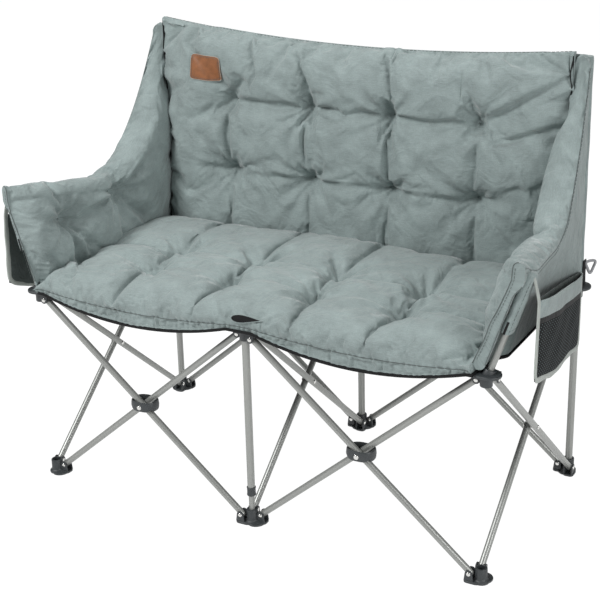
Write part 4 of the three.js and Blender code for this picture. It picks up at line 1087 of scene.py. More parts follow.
def patch(grid):
    """The bare leather patch: a rounded plate on the cushion, with a pale cut edge and stitches.

    It is drawn 45 mm further right and 12 mm lower than the solid, where the photograph has it.
    """
    centre_x, centre_z = PATCH.x + 45 * MM, PATCH.z - 12 * MM
    turn = np.radians(-3)
    u = np.linspace(-1, 1, 40)[:, None]
    v = np.linspace(-1, 1, 32)[None]
    squircle = (np.abs(u) ** 9 + np.abs(v) ** 9 + 1e-12) ** (-1 / 9) * np.maximum(np.abs(u), np.abs(v))
    across, up = u * squircle * PATCH_WIDTH / 2, v * squircle * PATCH_HEIGHT / 2
    x = centre_x + across * np.cos(turn) - up * np.sin(turn)
    z = centre_z + across * np.sin(turn) + up * np.cos(turn)
    behind = lying_on(grid.reshape(-1, 3), x, z)
    rim = np.maximum(np.abs(u), np.abs(v)) ** 12
    front = lattice(x, behind - 2.0 * MM + 0.7 * MM * rim, z)
    made = soft_piece("back_patch_leather", [thin_sheet(front, lattice(x, behind + 3 * MM, z))], "leather",
                      "foot_rear_centre")
    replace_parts(made, "patch")
    for name, key, step, lift in (("edge", "binding", 0, 0.4 * MM), ("stitches", "thread", 2, 0.3 * MM)):
        last = -1 - step
        edge = np.concatenate([front[step:last, step], front[last, step:last], front[step + 1:, last][::-1][step:],
                               front[step, step + 1:][::-1][step:]]) - np.array([0, lift, 0])
        if name == "edge":
            shells = [looped(edge, (0, -1, 0), round_section(0.6 * MM, 8))]
        else:
            shells = stitches(edge, 4 * MM, 0.45 * MM)
        soft_piece(f"back_patch_{name}", shells, key, "foot_rear_centre")


def back_panel():
    """The plain rear cloth: a slack sheet with soft folds, a hem and a sleeve on each post."""
    low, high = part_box("back_panel")
    x = np.linspace(-BAY, BAY, 150)[:, None]
    share = np.linspace(0, 1, 70)[None]
    top = np.minimum(back_top(np.clip(x, BACK_LOW.x, BACK_HIGH.x)), high.z) - 2 * MM
    z = low.z + (top - low.z) * share
    face = BACK_REAR + 1.6 * MM
    slack = np.sin(np.pi * (x + BAY) / (2 * BAY)) * np.sin(np.pi * share)
    fold = 1.4 * MM * np.sin(z / (38 * MM) + 1.5 * np.sin(x / (110 * MM))) * np.sin(x / (75 * MM)) * slack
    keep_clear = 1 - 0.8 * np.exp(-((x / (40 * MM)) ** 2))
    rear = lattice(x, face + np.maximum(0, 0.6 * MM + fold) * keep_clear, z)
    made = soft_piece("back_panel_cloth", [thin_sheet(rear - np.array([0, 1.2 * MM, 0]), rear)], "cover",
                      "foot_rear_centre")
    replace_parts(made, "back_panel")
    for name, side in SIDES.items():
        height = np.linspace(low.z, high.z - 1 * MM, 60)[:, None]
        angle = ring_angles(32)[None]
        crinkle = 0.5 * MM * np.sin(height / (17 * MM) + 2 * np.sin(angle)) * np.cos(angle * 2 + height / (60 * MM))
        radius = (10.6 * MM + crinkle) * np.where(height > high.z - 4 * MM, 0.93, 1)
        grid = lattice(side * BAY + radius * np.cos(angle), HALF_DEPTH + radius * np.sin(angle), height)
        soft_piece(f"back_sleeve_{name}", [shell(grid)], "cover", f"foot_rear_{name}")
        seam = lattice(side * (BAY - 12.5 * MM), face + 2.4 * MM, np.linspace(low.z, top[0, 0], 60))
        soft_piece(f"back_sleeve_stitches_{name}", stitches(seam, sizes().stitch * 2, sizes().thread), "thread",
                   "foot_rear_centre")
    hem = lattice(x[:, 0], face + 1.2 * MM, top[:, 0] - 1 * MM)
    soft_piece("back_panel_hem", [swept(hem, oval(2.2 * MM, 6 * MM))], "cover", "foot_rear_centre")


# Arms

ARM_FLARE = 72 * MM
ARM_BASE = HUB_TOP - 12 * MM
ARM_POST_TOP = HUB_TOP + 194 * MM
ARM_FRONT_TOP = HUB_TOP + 228 * MM
ARM_DIP_TOP = HUB_TOP + 199 * MM
ARM_REAR_TOP = HUB_TOP + 498 * MM
ARM_DIP_PLACE = ARM_LOW.y + 0.47 * (ARM_HIGH.y - ARM_LOW.y)
ARM_SHELL_HALF = 9.5 * MM
ARM_TUFT_SHARES = ((0.235, 0.55), (0.56, 0.68))


def arm_top(y):
    """The arm's top edge: lifting a little to the front, and up to the rear post as share^2.1."""
    before = (ARM_DIP_PLACE - y) / (ARM_DIP_PLACE - ARM_LOW.y)
    behind = np.clip((y - ARM_DIP_PLACE) / (ARM_HIGH.y - 10 * MM - ARM_DIP_PLACE), 0, 1)
    rise = (ARM_FRONT_TOP - ARM_DIP_TOP) * np.maximum(0, before)
    return ARM_DIP_TOP + rise + (ARM_REAR_TOP - ARM_DIP_TOP) * behind ** 2.1


def arm_middle(y, z):
    """The middle of the arm's wall, which leans out with the arm post in front only."""
    flare = np.clip((ARM_HIGH.y - y) / (ARM_HIGH.y + HALF_DEPTH), 0, 1)
    rise = np.clip((z - ARM_BASE) / (ARM_POST_TOP - ARM_BASE), -0.1, 1)
    return BAY + ARM_FLARE * flare * rise


def arm_post_line(side):
    """The arm post's foot in its hub, its head in the arm's front corner and the direction between them."""
    foot = np.array([side * BAY, -HALF_DEPTH, ARM_BASE])
    head = np.array([side * (BAY + ARM_FLARE), -HALF_DEPTH + 14 * MM, ARM_POST_TOP])
    return foot, head, unit(head - foot)


def arm_tufts():
    places = []
    for along, up in ARM_TUFT_SHARES:
        y = ARM_LOW.y + along * (ARM_HIGH.y - ARM_LOW.y)
        places.append((y, ARM_LOW.z + up * (float(arm_top(y)) - ARM_LOW.z)))
    return places


def arm_creases():
    """Folds on the arm's inner face: between its tufts, up and down from each, and one at the rear."""
    front, rear = arm_tufts()
    lines = [(front, rear, 14 * MM, 0.6)]
    for (y, z), y1, z1, y2, z2, depth, middle in (
        (front, 0, 0, -24, 70, 10, 0.4), (front, 0, 0, 12, -90, 12, 0.4), (rear, 0, 0, -20, 56, 11, 0.5),
        (rear, 0, 0, 70, 40, 11, 0.4), (rear, 8, -22, 66, -62, 12, 0.8),
    ):
        lines.append(((y + y1 * MM, z + z1 * MM), (y + y2 * MM, z + z2 * MM), depth * MM, middle))
    return lines


INNER_COUNT, ROLL_COUNT, OUTER_COUNT, FOOT_COUNT = 52, 13, 46, 5
ARM_ROLL = 30 * MM
ARM_BOTTOM = ARM_LOW.z - 8 * MM


def smooth_step(value):
    """0 below 0, 1 above 1 and v^2 (3 - 2v) between."""
    value = np.clip(value, 0, 1)
    return value * value * (3 - 2 * value)


def arm_outer(y, z):
    """How far the outer face stands from the middle: less where the bare post passes it."""
    beside_post = smooth_step((ARM_LOW.y + 77 * MM - y) / (33 * MM))
    below_sleeve = smooth_step((ARM_POST_TOP - 8 * MM - z) / (26 * MM))
    return ARM_SHELL_HALF - beside_post * (10 + 9.5 * below_sleeve) * MM


def arm_inner(y, z, u, top, side):
    """How far the inner face stands from the middle: a gusset, then a pad that thins out above."""
    gusset = smooth_step((ARM_LOW.y + 34 * MM - y) / (34 * MM))
    low = np.clip((ARM_FRONT_TOP - z) / (ARM_FRONT_TOP - ARM_BOTTOM), 0, 1)
    lift = (z - ARM_BOTTOM) / (top - ARM_BOTTOM)
    thin = 1 - 0.55 * smooth_step((z - 680 * MM) / (170 * MM))
    pad = 10 * MM + 27 * MM * thin * fullness(0.04 + 0.96 * u, 7) * np.minimum(1, 0.45 + 0.9 * lift)
    width = 13 + (13 if side > 0 else -7) * low
    return ARM_SHELL_HALF + pad + (width * MM - ARM_SHELL_HALF * (side < 0) - pad) * gusset


def arm_shape(side):
    """One arm as rings along Y: up the padded inner face, over the roll, down the outer face and under.

    The roll is half an ellipse between the two faces, and the folds press the inner face outwards.
    """
    cell = sizes().cell
    u = np.linspace(0, 1, int((ARM_HIGH.y - ARM_LOW.y) / cell))[:, None]
    y = ARM_LOW.y + (ARM_HIGH.y - ARM_LOW.y) * u
    top, bottom = arm_top(y), ARM_BOTTOM + 8 * MM + 0 * y
    roll = ARM_ROLL * (0.4 + 0.6 * smooth_step((y - ARM_LOW.y) / (70 * MM)))
    shoulder = top - roll
    v = np.linspace(0, 1, INNER_COUNT)[None]
    z = bottom + (shoulder - bottom) * v
    tufts = arm_tufts()
    press = np.maximum(pressed(y, z, tufts, 36 * MM, 27 * MM), crease_lines(y, z, arm_creases(), 11 * MM))
    press = press * fullness(u, 9)
    inner = arm_middle(y, z) - arm_inner(y, z, u, top, side) + press
    down = np.linspace(1, 0, OUTER_COUNT)[None]
    outer_z = bottom + (shoulder - bottom) * down
    outer = arm_middle(y, outer_z) + arm_outer(y, outer_z)
    turn = np.linspace(np.pi, 0, ROLL_COUNT + 2)[None, 1:-1]
    across = (inner[:, -1:] + outer[:, :1]) / 2 + (outer[:, :1] - inner[:, -1:]) / 2 * np.cos(turn)
    over = shoulder + roll * np.sin(turn)
    foot_turn = np.linspace(0, -np.pi, FOOT_COUNT + 2)[None, 1:-1]
    foot_x = (inner[:, :1] + outer[:, -1:]) / 2 + (outer[:, -1:] - inner[:, :1]) / 2 * np.cos(foot_turn)
    foot_z = bottom + 8 * MM * np.sin(foot_turn)
    x = np.hstack([inner, across, outer, foot_x])
    height = np.hstack([z, over, outer_z, foot_z])
    grid = lattice(side * x, y, height)
    held = np.zeros(x.shape)
    held[1, INNER_COUNT - 8:], held[2, INNER_COUNT - 8:] = 0.5, 0.25
    held[0] = held[-1] = 1
    outer_start = INNER_COUNT + ROLL_COUNT
    held[:, outer_start - 1:] = 1
    held[:, 0] = 0.8
    hold_tufts(held[:, :INNER_COUNT], y, z, tufts)
    return grid, held


def arms():
    """Both arms: a padded wall with a rolled top, front gusset, seams and post sleeve."""
    settings = sizes()
    for name, side in SIDES.items():
        grid, held = arm_shape(side)
        outer = slice(INNER_COUNT + ROLL_COUNT - 1, None)
        flat = grid[:, outer].copy()
        grid = filled(f"arm_trial_{name}", grid, held, settings.slack * 0.7, settings.swell * 0.7, 0.7)
        grid[:, outer] = flat
        inner = slice(0, INNER_COUNT)
        fade = fullness(np.linspace(0, 1, INNER_COUNT), 6)[None]
        fine = gathers(grid[:, inner, 1], grid[:, inner, 2], arm_tufts(), 7 + side, 5.2 * MM, 44 * MM)
        grid[:, inner, 0] += side * fade * fine
        outer_face = slice(INNER_COUNT + ROLL_COUNT + 2, INNER_COUNT + ROLL_COUNT + OUTER_COUNT - 2)
        py, pz = grid[:, outer_face, 1], grid[:, outer_face, 2]
        pucker = np.sin(pz / (21 * MM) + py / (37 * MM)) * np.sin(py / (50 * MM) + 0.6) + 0.6 * np.sin(
            py / (14 * MM) + 3 * np.sin(pz / (45 * MM))) * np.exp(-((pz - arm_top(py) + 50 * MM) / (26 * MM)) ** 2)
        grid[:, outer_face, 0] += side * 1.3 * MM * pucker * smooth_step((py - ARM_LOW.y) / (90 * MM))
        grid = pad_faces(grid)
        normals = along_normals(grid)
        body = f"foot_rear_{name}"
        made = soft_piece(f"arm_cushion_{name}", [shell(grid, ends="ladder")], "cover", body)
        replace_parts(made, f"arm_shell_{name}", f"arm_pad_{name}")
        tufts = nearest(grid[:, :2 * INNER_COUNT], arm_tufts(), (1, 2))
        threads = knots(grid[:, :2 * INNER_COUNT][tufts], normals[:, :2 * INNER_COUNT][tufts])
        soft_piece(f"arm_tuft_threads_{name}", threads, "thread", body)
        arm_seams(name, side, grid, normals, body)
        arm_sleeve(name, side, body)
        side_seam(name, side, grid[:, :2 * INNER_COUNT])


def side_seam(name, side, arm):
    """The black gathered seam where the surfaces of the back and an arm meet at each height."""
    if "back" not in SURFACES:
        raise RuntimeError("The back is built before the arms, because their seam lies on it.")
    cushion = SURFACES["back"][::side]
    cushion = cushion[cushion[:, 0, 0] * side > 350 * MM]
    heights = np.linspace(BACK_LOW.z + 10 * MM, BACK_HIGH.z - 6 * MM, 90)
    path = []
    for z in heights:
        (back_x, back_y), (arm_x, arm_y) = (
            np.array([[np.interp(z, row[:, 2], row[:, k]) for row in rows] for k in (0, 1)])
            for rows in (cushion, arm[2:-2]))
        beyond = np.flatnonzero(back_x * side > np.interp(back_y, arm_y, arm_x * side))
        meet = beyond[0] if len(beyond) else len(back_x) - 3
        path.append((back_x[meet] - side * 1 * MM, back_y[meet] - 1.2 * MM, z))
    line = smoothed(np.array(path), 5)
    gather = 1.3 + 1.1 * np.exp(-((np.mod(heights, 88 * MM) - 44 * MM) / (4 * MM)) ** 2)
    sections = MM * gather[:, None, None] * oval(1, 1, 10)
    soft_piece(f"back_side_seam_{name}", [swept(line, sections)], "sling", "foot_rear_centre")


def arm_seams(name, side, grid, normals, body):
    """Seams of an arm: beside the front gusset, at the roll's outer edge, and the black hem."""
    settings = sizes()
    roll_out = 2 * (INNER_COUNT + ROLL_COUNT) - 1
    bottom_out = 2 * (INNER_COUNT + ROLL_COUNT + OUTER_COUNT) - 3
    inner_line = grid[0, 2:2 * INNER_COUNT + ROLL_COUNT] + np.array([0, -0.2 * MM, 0])
    outer_line = grid[0, roll_out + 16:bottom_out] + np.array([0, -0.2 * MM, 0])
    edge = smoothed(grid[1:-1, roll_out] + normals[1:-1, roll_out] * 0.3 * MM, 6)
    cords = [swept(line, round_section(0.9 * MM, 8)) for line in (inner_line, outer_line, edge)]
    soft_piece(f"arm_seams_{name}", cords, "thread", body)
    beside = seam_line(grid, normals, roll_out + 4, 0.4 * MM, 6)
    within = grid[0, 6:2 * INNER_COUNT] + np.array([side * 5 * MM, -0.5 * MM, 0])
    rows = stitches(beside, settings.stitch * 2, settings.thread) + stitches(
        within, settings.stitch * 1.6, settings.thread * 0.8)
    soft_piece(f"arm_stitches_{name}", rows, "thread", body)
    hem = smoothed(grid[2:-2, bottom_out + 2] + np.array([side * 1.2 * MM, 0, 0]), 4)
    soft_piece(f"arm_hem_{name}", [swept(hem, oval(2 * MM, 4 * MM, 10))], "sling", body)


def arm_sleeve(name, side, body):
    """The flat stitched sleeve round the arm post, with a hem and a tab of black webbing."""
    foot, head, tangent = arm_post_line(side)
    share = np.concatenate([[0.47, 0.472], np.linspace(0.485, 0.99, 30), [1.02, 1.03]])
    swell = np.concatenate([[0.93, 1.0], 1 + 0.03 * np.sin(np.linspace(0, 14, 30)), [0.8, 0.5]])
    path = foot + (head - foot) * share[:, None] + np.array([0, 7 * MM, 0])
    section = oval(10.6 * MM, 23 * MM, 32, 0.8)
    first = unit(np.array([0.0, 1, 0]) - tangent * tangent[1])
    second = np.cross(tangent, first)
    sleeve = carried(path, second, first, section * swell[:, None, None])
    soft_piece(f"arm_post_sleeve_{name}", [sleeve], "cover", body)
    rows = []
    for front in (-19 * MM, 19 * MM):
        beside = path[2:-2] + first * front - second * side * 7.4 * MM
        rows += stitches(beside, sizes().stitch * 1.8, sizes().thread)
    hem_ring = path[1] + (first * section[:, 1:] + second * section[:, :1]) * 1.02 + tangent * 9 * MM
    rows += stitches(hem_ring, sizes().stitch * 1.6, sizes().thread)
    soft_piece(f"arm_sleeve_stitches_{name}", rows, "thread", body)
    centre = foot + (head - foot) * 0.53 + first * -16.3 * MM
    line = centre + tangent * np.linspace(-13 * MM, 13 * MM, 12)[:, None]
    tab = carried(line, first, second, oval(1.2 * MM, 2.4 * MM, 32))
    soft_piece(f"arm_sleeve_tab_{name}", [tab], "sling", body)


# Pockets

POCKET_HEMS = (HUB_TOP + 152 * MM, HUB_TOP + 40 * MM)
POCKET_HEIGHTS = (167 * MM, 174 * MM)
POCKET_NETTING_TOP = 115 / 160
POCKET_BAND_TOP = 126 / 160


def pocket_frame(name):
    """The pocket's side, its front and rear, and where its inner layer lies at both."""
    low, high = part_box(f"pocket_{name}")
    front, rear = low.y - 12 * MM, high.y
    at_front, at_rear = (
        float(arm_middle(y, hem)) + ARM_SHELL_HALF + GAP for y, hem in zip((front, rear), POCKET_HEMS))
    return SIDES[name], front, rear, at_front, max(at_rear, BAY + PLANE_OFFSET + SLOT_HALF + GAP)


def pocket_point(name, u, v, stand):
    """A place on the pocket: u from front to rear, v from bottom to hem, standing off the arm."""
    side, front, rear, at_front, at_rear = pocket_frame(name)
    y = front + (rear - front) * u - 8 * MM * (1 - u) ** 4 * (1 - v)
    top, tall = np.interp(u, (0, 1), POCKET_HEMS), np.interp(u, (0, 1), POCKET_HEIGHTS)
    sweep = 5 * MM * np.sin(2 * np.pi * u * 1.5 + 0.6) * (1 - v)
    z = top - tall * (1 - v) + sweep + 10 * MM * (1 - v) * (2 * u - 1) ** 4
    return lattice(side * (at_front + (at_rear - at_front) * u + stand), y, z)


def pocket_edge(u):
    """How far the bound edge stands off: it hangs free in front and is sewn on behind."""
    return 3 * MM + 23 * MM * (1 - u) ** 1.3


def pocket_stand(u, v):
    """How far the outer layer stands off: its edge's reach and a soft bulge at the mouth."""
    sides = np.clip(1 - np.abs(2 * u - 1) ** 4, 0, 1) ** 0.7
    rise = np.clip(v, 0, 1) ** 0.6
    fold = 1 + (0.16 * np.sin(u * 13 + v * 5) + 0.1 * np.sin(u * 23 - v * 9)) * (1 - 0.8 * np.clip(v, 0, 1) ** 2)
    return pocket_edge(u) + 13 * MM * sides * rise * fold


def pocket_layer(name, u, low_v, high_v, rows, outside, thick=1.2 * MM):
    """A thin closed layer of the pocket between two heights."""
    v = low_v + (high_v - low_v) * np.linspace(0, 1, rows)[None]
    stand = (pocket_stand(u, v) if outside else pocket_edge(u) - 1.6 * MM * np.clip(u / 0.1, 0, 1)) + 0 * v
    outer = pocket_point(name, u, v, stand)
    inner = pocket_point(name, u, v, stand - thick)
    return np.hstack([outer, inner[:, ::-1]])


def pockets():
    """Both side pockets: a grey hem, a black band and netting in front of a lining in painted shade, bound in tape.
    """
    u = np.linspace(0, 1, 90)[:, None]
    for name in ("left", "right"):
        body = f"foot_rear_{name}"
        layers = (
            ("netting", 0.0, POCKET_NETTING_TOP, 46, "netting", True),
            ("band", POCKET_NETTING_TOP, POCKET_BAND_TOP, 8, "sling", True),
            ("hem", POCKET_BAND_TOP, 1.0, 16, "cover", True),
            # The backing is lining cloth darker than the cover, as painted shade inside the pocket
            ("backing", 0.0, 1.02, 50, "lining", False),
        )
        made = {}
        for label, low_v, high_v, rows, key, outside in layers:
            grid = pocket_layer(name, u, low_v, high_v, rows, outside)
            made[label] = soft_piece(f"pocket_{label}_{name}", [shell(grid, ends="ladder")], key, body)
        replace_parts(made["netting"], f"pocket_{name}")
        pocket_binding(name, body)


def pocket_binding(name, body):
    """Pale tape over the pocket's front, bottom and rear edges, and a rolled top of its hem."""
    v = np.linspace(1.27, 0.05, 44)
    down = pocket_point(name, 0 * v + 0.004, v, pocket_edge(0.004) - 12 * MM * np.clip((v - 1) / 0.27, 0, 1))
    u = np.linspace(0.02, 0.98, 70)
    below = pocket_point(name, u, 0 * u, pocket_edge(u))
    v = np.linspace(0.05, 1.0, 36)
    up = pocket_point(name, 0 * v + 0.996, v, pocket_edge(0.996))
    path = smoothed(np.concatenate([down, below, up]), 3)
    wobble = 1 + 0.12 * np.sin(np.linspace(0, 60, len(path)))
    sections = oval(2.6 * MM, 6.2 * MM, 14) * lattice(1, wobble)[:, None]
    tangents = unit(np.gradient(path, axis=0))
    out = np.array([SIDES[name], 0.1, 0.0])
    out = unit(out - tangents * (tangents @ out)[:, None])
    tape = carried(path, out[:, None], np.cross(tangents, out)[:, None], sections)
    soft_piece(f"pocket_binding_{name}", [tape], "binding", body)
    u = np.linspace(0.01, 0.99, 80)
    hem = pocket_point(name, u, 0 * u + 1, pocket_stand(u, 0 * u + 1))
    soft_piece(f"pocket_hem_edge_{name}", [swept(hem, round_section(1.5 * MM, 8))], "cover", body)


# Frame

def tube_ends():
    """Each scissor tube's two pivots, by node."""
    low, high = PIVOT_HEIGHT, PIVOT_HEIGHT + PIVOT_RISE
    ends = {}
    for row in ROWS:
        y = POSTS[row, "centre"].y
        for bay, left, right in (("left", -BAY, 0.0), ("right", 0.0, BAY)):
            a, b = left + PIVOT_OFFSET, right - PIVOT_OFFSET
            ends[f"tube_{row}_{bay}_a"] = ((b, y - PLANE_OFFSET, low), (a, y - PLANE_OFFSET, high))
            ends[f"tube_{row}_{bay}_b"] = ((a, y + PLANE_OFFSET, low), (b, y + PLANE_OFFSET, high))
    near, far = -HALF_DEPTH + PIVOT_OFFSET, HALF_DEPTH - PIVOT_OFFSET
    for column in COLUMNS:
        x = POSTS["front", column].x
        ends[f"tube_side_{column}_a"] = ((x + PLANE_OFFSET, far, low), (x + PLANE_OFFSET, near, high))
        ends[f"tube_side_{column}_b"] = ((x - PLANE_OFFSET, near, low), (x - PLANE_OFFSET, far, high))
    return ends


def pipe(start, stop, radius, wall=1.2 * MM, depth=14 * MM, sides=32):
    """A tube with eased rims, open at both ends to a short depth."""
    start, stop = np.asarray(start, float), np.asarray(stop, float)
    length, rim, bore = np.linalg.norm(stop - start), wall / 3, radius - wall
    along = [depth, 0, 0, rim, length - rim, length, length, length - depth]
    radii = [bore, bore, radius - rim, radius, radius, radius - rim, bore, bore]
    return lathed(start, stop, np.array(along), np.array(radii), sides)


def body_of_node(node):
    return next(body for body, nodes in frame["record"]["behaviour"]["bodies"].items() if node in nodes)


def finish(node, shells, key, smooth_angle=40):
    """The finished surface of one rigid solid, on that solid's body."""
    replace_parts(piece(f"{node}_finish", shells, key, body_of_node(node), smooth_angle), node)


def tubes():
    """The fourteen scissor tubes with round ends, and the rivets at the side crossings."""
    for node, (start, stop) in tube_ends().items():
        finish(node, [rod(start, stop, TUBE_RADIUS, 32, 7)], "tube")
    for column in COLUMNS:
        x = POSTS["front", column].x
        centre = (x, 0.0, PIVOT_HEIGHT + PIVOT_RISE / 2)
        reach = PLANE_OFFSET + SLOT_HALF
        shells = [turned([(2.4 * MM, -reach), (2.4 * MM, reach)], centre, 16, "X")]
        for facing in (-1, 1):
            head = (x + facing * reach, centre[1], centre[2])
            shells.append(domed(head, 4.6 * MM, 1.6 * MM, "X", facing))
        shells.append(turned([(4.6 * MM, -0.7 * MM), (4.6 * MM, 0.7 * MM)], centre, 20, "X"))
        finish(f"rivet_side_{column}", shells, "rivet")


def posts():
    """The upright posts, the front centre post with its collar, and the leaning arm posts."""
    uprights = [(f"post_rear_{column}", "rear", column, POST_RADIUS) for column in COLUMNS]
    uprights += [("post_front_centre_upper", "front", "centre", POST_RADIUS),
                 ("post_front_centre_rod", "front", "centre", 6.3 * MM)]
    for node, row, column, radius in uprights:
        low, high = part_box(node)
        place = POSTS[row, column]
        upright = pipe((place.x, place.y, low.z), (place.x, place.y, high.z), radius)
        finish(node, [upright], "tube")
    place = POSTS["front", "centre"]
    profile = [(6.8, 0), (9.0, 0), (9.7, 0.8), (9.7, 3.5), (9.2, 4.5), (9.2, 15.5), (9.7, 16.5), (9.7, 19.2),
               (9.0, 20), (8.3, 20), (8.3, 4), (6.8, 4)]
    collar = revolved(np.array(profile) * MM, (place.x, place.y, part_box("post_front_centre_collar")[0].z), sides=40)
    finish("post_front_centre_collar", [collar], "moulding", 35)
    for name, side in SIDES.items():
        foot, head, _ = arm_post_line(side)
        finish(f"arm_post_{name}", [pipe(foot, head, TUBE_RADIUS)], "tube")


def knuckle_places(row, column, is_hub):
    """Pivots at a foot or hub, seen from its post: of the sideways tubes and the one that runs back."""
    places = []
    if column != "right":
        places.append((PIVOT_OFFSET, -PLANE_OFFSET if is_hub else PLANE_OFFSET, "Y"))
    if column != "left":
        places.append((-PIVOT_OFFSET, PLANE_OFFSET if is_hub else -PLANE_OFFSET, "Y"))
    towards = -1 if row == "rear" else 1
    plane = -PLANE_OFFSET if (row == "rear") == is_hub else PLANE_OFFSET
    places.append((plane, towards * PIVOT_OFFSET, "X"))
    return places


def cheeks(centre, axis, reach):
    """Two moulded cheeks round a pivot, as plates with a round end, and the rivet heads outside.

    The reach is signed: the plates run from the pivot down or up to the base by that much.
    """
    turn = np.linspace(0, np.pi, 13) if reach < 0 else np.linspace(np.pi, 2 * np.pi, 13)
    arc = CHEEK_RADIUS * lattice(np.cos(turn), np.sin(turn))
    foot = [(-CHEEK_RADIUS * 1.25, reach), (CHEEK_RADIUS * 1.25, reach)]
    outline = np.concatenate([arc, foot if reach < 0 else foot[::-1]])
    plates, heads = [], []
    for facing in (-1, 1):
        near, far = sorted((facing * SLOT_HALF, facing * (SLOT_HALF + CHEEK_WALL)))
        plates.append(slab(outline[:, ::-1] if axis == "Y" else outline, near, far, 0.7 * MM, axis, centre))
        head = np.array(centre, float)
        head[1 if axis == "Y" else 0] += facing * (SLOT_HALF + CHEEK_WALL)
        heads.append(domed(head, 4.6 * MM, 1.7 * MM, axis, facing))
    return plates, heads


def moulded(node, shells, heads, smooth_angle=40):
    """A moulding and its rivets on one body."""
    finish(node, shells, "moulding", smooth_angle)
    piece(f"{node}_rivets", heads, "rivet", body_of_node(node))


def feet():
    """Six moulded feet: a wide eased base, a socket for the post and cheeks for the tube ends."""
    for (row, column), place in POSTS.items():
        bore = 8.3 if row == "rear" else (6.6 if column == "centre" else 8.4)
        profile = [(0, 0), (27.2, 0), (28.8, 0.7), (29.5, 2), (29.5, 3.8), (28.9, 4.8), (27.5, 5.2), (16.5, 6.0),
                   (13.6, 7.4), (12.5, 9.6), (12.2, 12), (12.2, 30.6), (11.6, 31.7), (10.8, 32), (bore + 0.7, 32),
                   (bore, 31.3), (bore, 6), (0, 6)]
        centre = (place.x, place.y, 0)
        knuckles = knuckle_places(row, column, False)
        ways = [(np.sign(dx), 0) if axis == "Y" else (0, np.sign(dy)) for dx, dy, axis in knuckles]
        shells = [turned(np.array(profile) * MM, centre, 56, squeeze=0.42, ways=ways)]
        heads = []
        for (dx, dy, axis), (way_x, way_y) in zip(knuckles, ways):
            pivot = (place.x + dx, place.y + dy, PIVOT_HEIGHT)
            plates, rivets = cheeks(pivot, axis, -(PIVOT_HEIGHT - 4.6 * MM))
            half = np.array((13.5, 12) if axis == "Y" else (12, 13.5)) * MM
            middle = np.array([place.x + dx, place.y + dy]) - np.array([way_x, way_y]) * 2 * MM
            pad = eased(middle + half * np.array([(-1, -1), (1, -1), (1, 1), (-1, 1)]), 9 * MM, 6)
            shells.append(slab(pad, 0.2 * MM, 5.6 * MM, 1.2 * MM))
            shells += plates
            heads += rivets
        moulded(f"foot_{row}_{column}", shells, heads)


def hubs():
    """Six moulded hubs: a flange under the cloth, a boss below it and cheeks for the tube ends."""
    for (row, column), place in POSTS.items():
        pivot_z = PIVOT_HEIGHT + PIVOT_RISE
        under, over = 12.0, 18.0
        plate = [(27.6, over), (28.9, over - 0.6), (29.5, over - 1.8), (29.5, under + 1.4), (28.8, under + 0.4),
                 (27.6, under), (17, under - 0.4), (13.2, under - 2.2), (12.2, under - 5), (12.2, -7.6),
                 (11.5, -8.7), (10.4, -9)]
        if row == "rear":
            section = np.array([(8.5, over - 0.8), (9.3, over), *plate, (9.2, -9), (8.5, -8.3)]) * MM
            shells = [revolved(section, (place.x, place.y, pivot_z))]
        else:
            end = [(8.3, -9), (8.3, 11.5), (0, 11.5)] if column == "centre" else [
                (4.2, -9), (3.4, -8.4), (3.0, -6.4), (0, -6.4)]
            profile = np.array([(0, over), *plate, *end]) * MM
            shells = [turned(profile, (place.x, place.y, pivot_z), 56, squeeze=0.22)]
        heads = []
        for dx, dy, axis in knuckle_places(row, column, True):
            plates, rivets = cheeks((place.x + dx, place.y + dy, pivot_z), axis, (under + 0.6) * MM)
            shells += plates
            heads += rivets
        if row == "front" and column != "centre":
            foot, _, direction = arm_post_line(SIDES[column])
            shells.append(neck(foot, direction, 22 * MM, 7.3 * MM, SOCKET_RADIUS))
        moulded(f"hub_{row}_{column}", shells, heads)


def neck(foot, direction, height, bore, radius):
    """A short leaning socket round the arm post's line."""
    section = np.array([(bore, 0), (radius, 0), (radius, height - 1.2 * MM), (radius - 1 * MM, height),
                        (bore + 0.6 * MM, height), (bore, height - 0.6 * MM)])
    return revolved(section, foot, direction, 40)


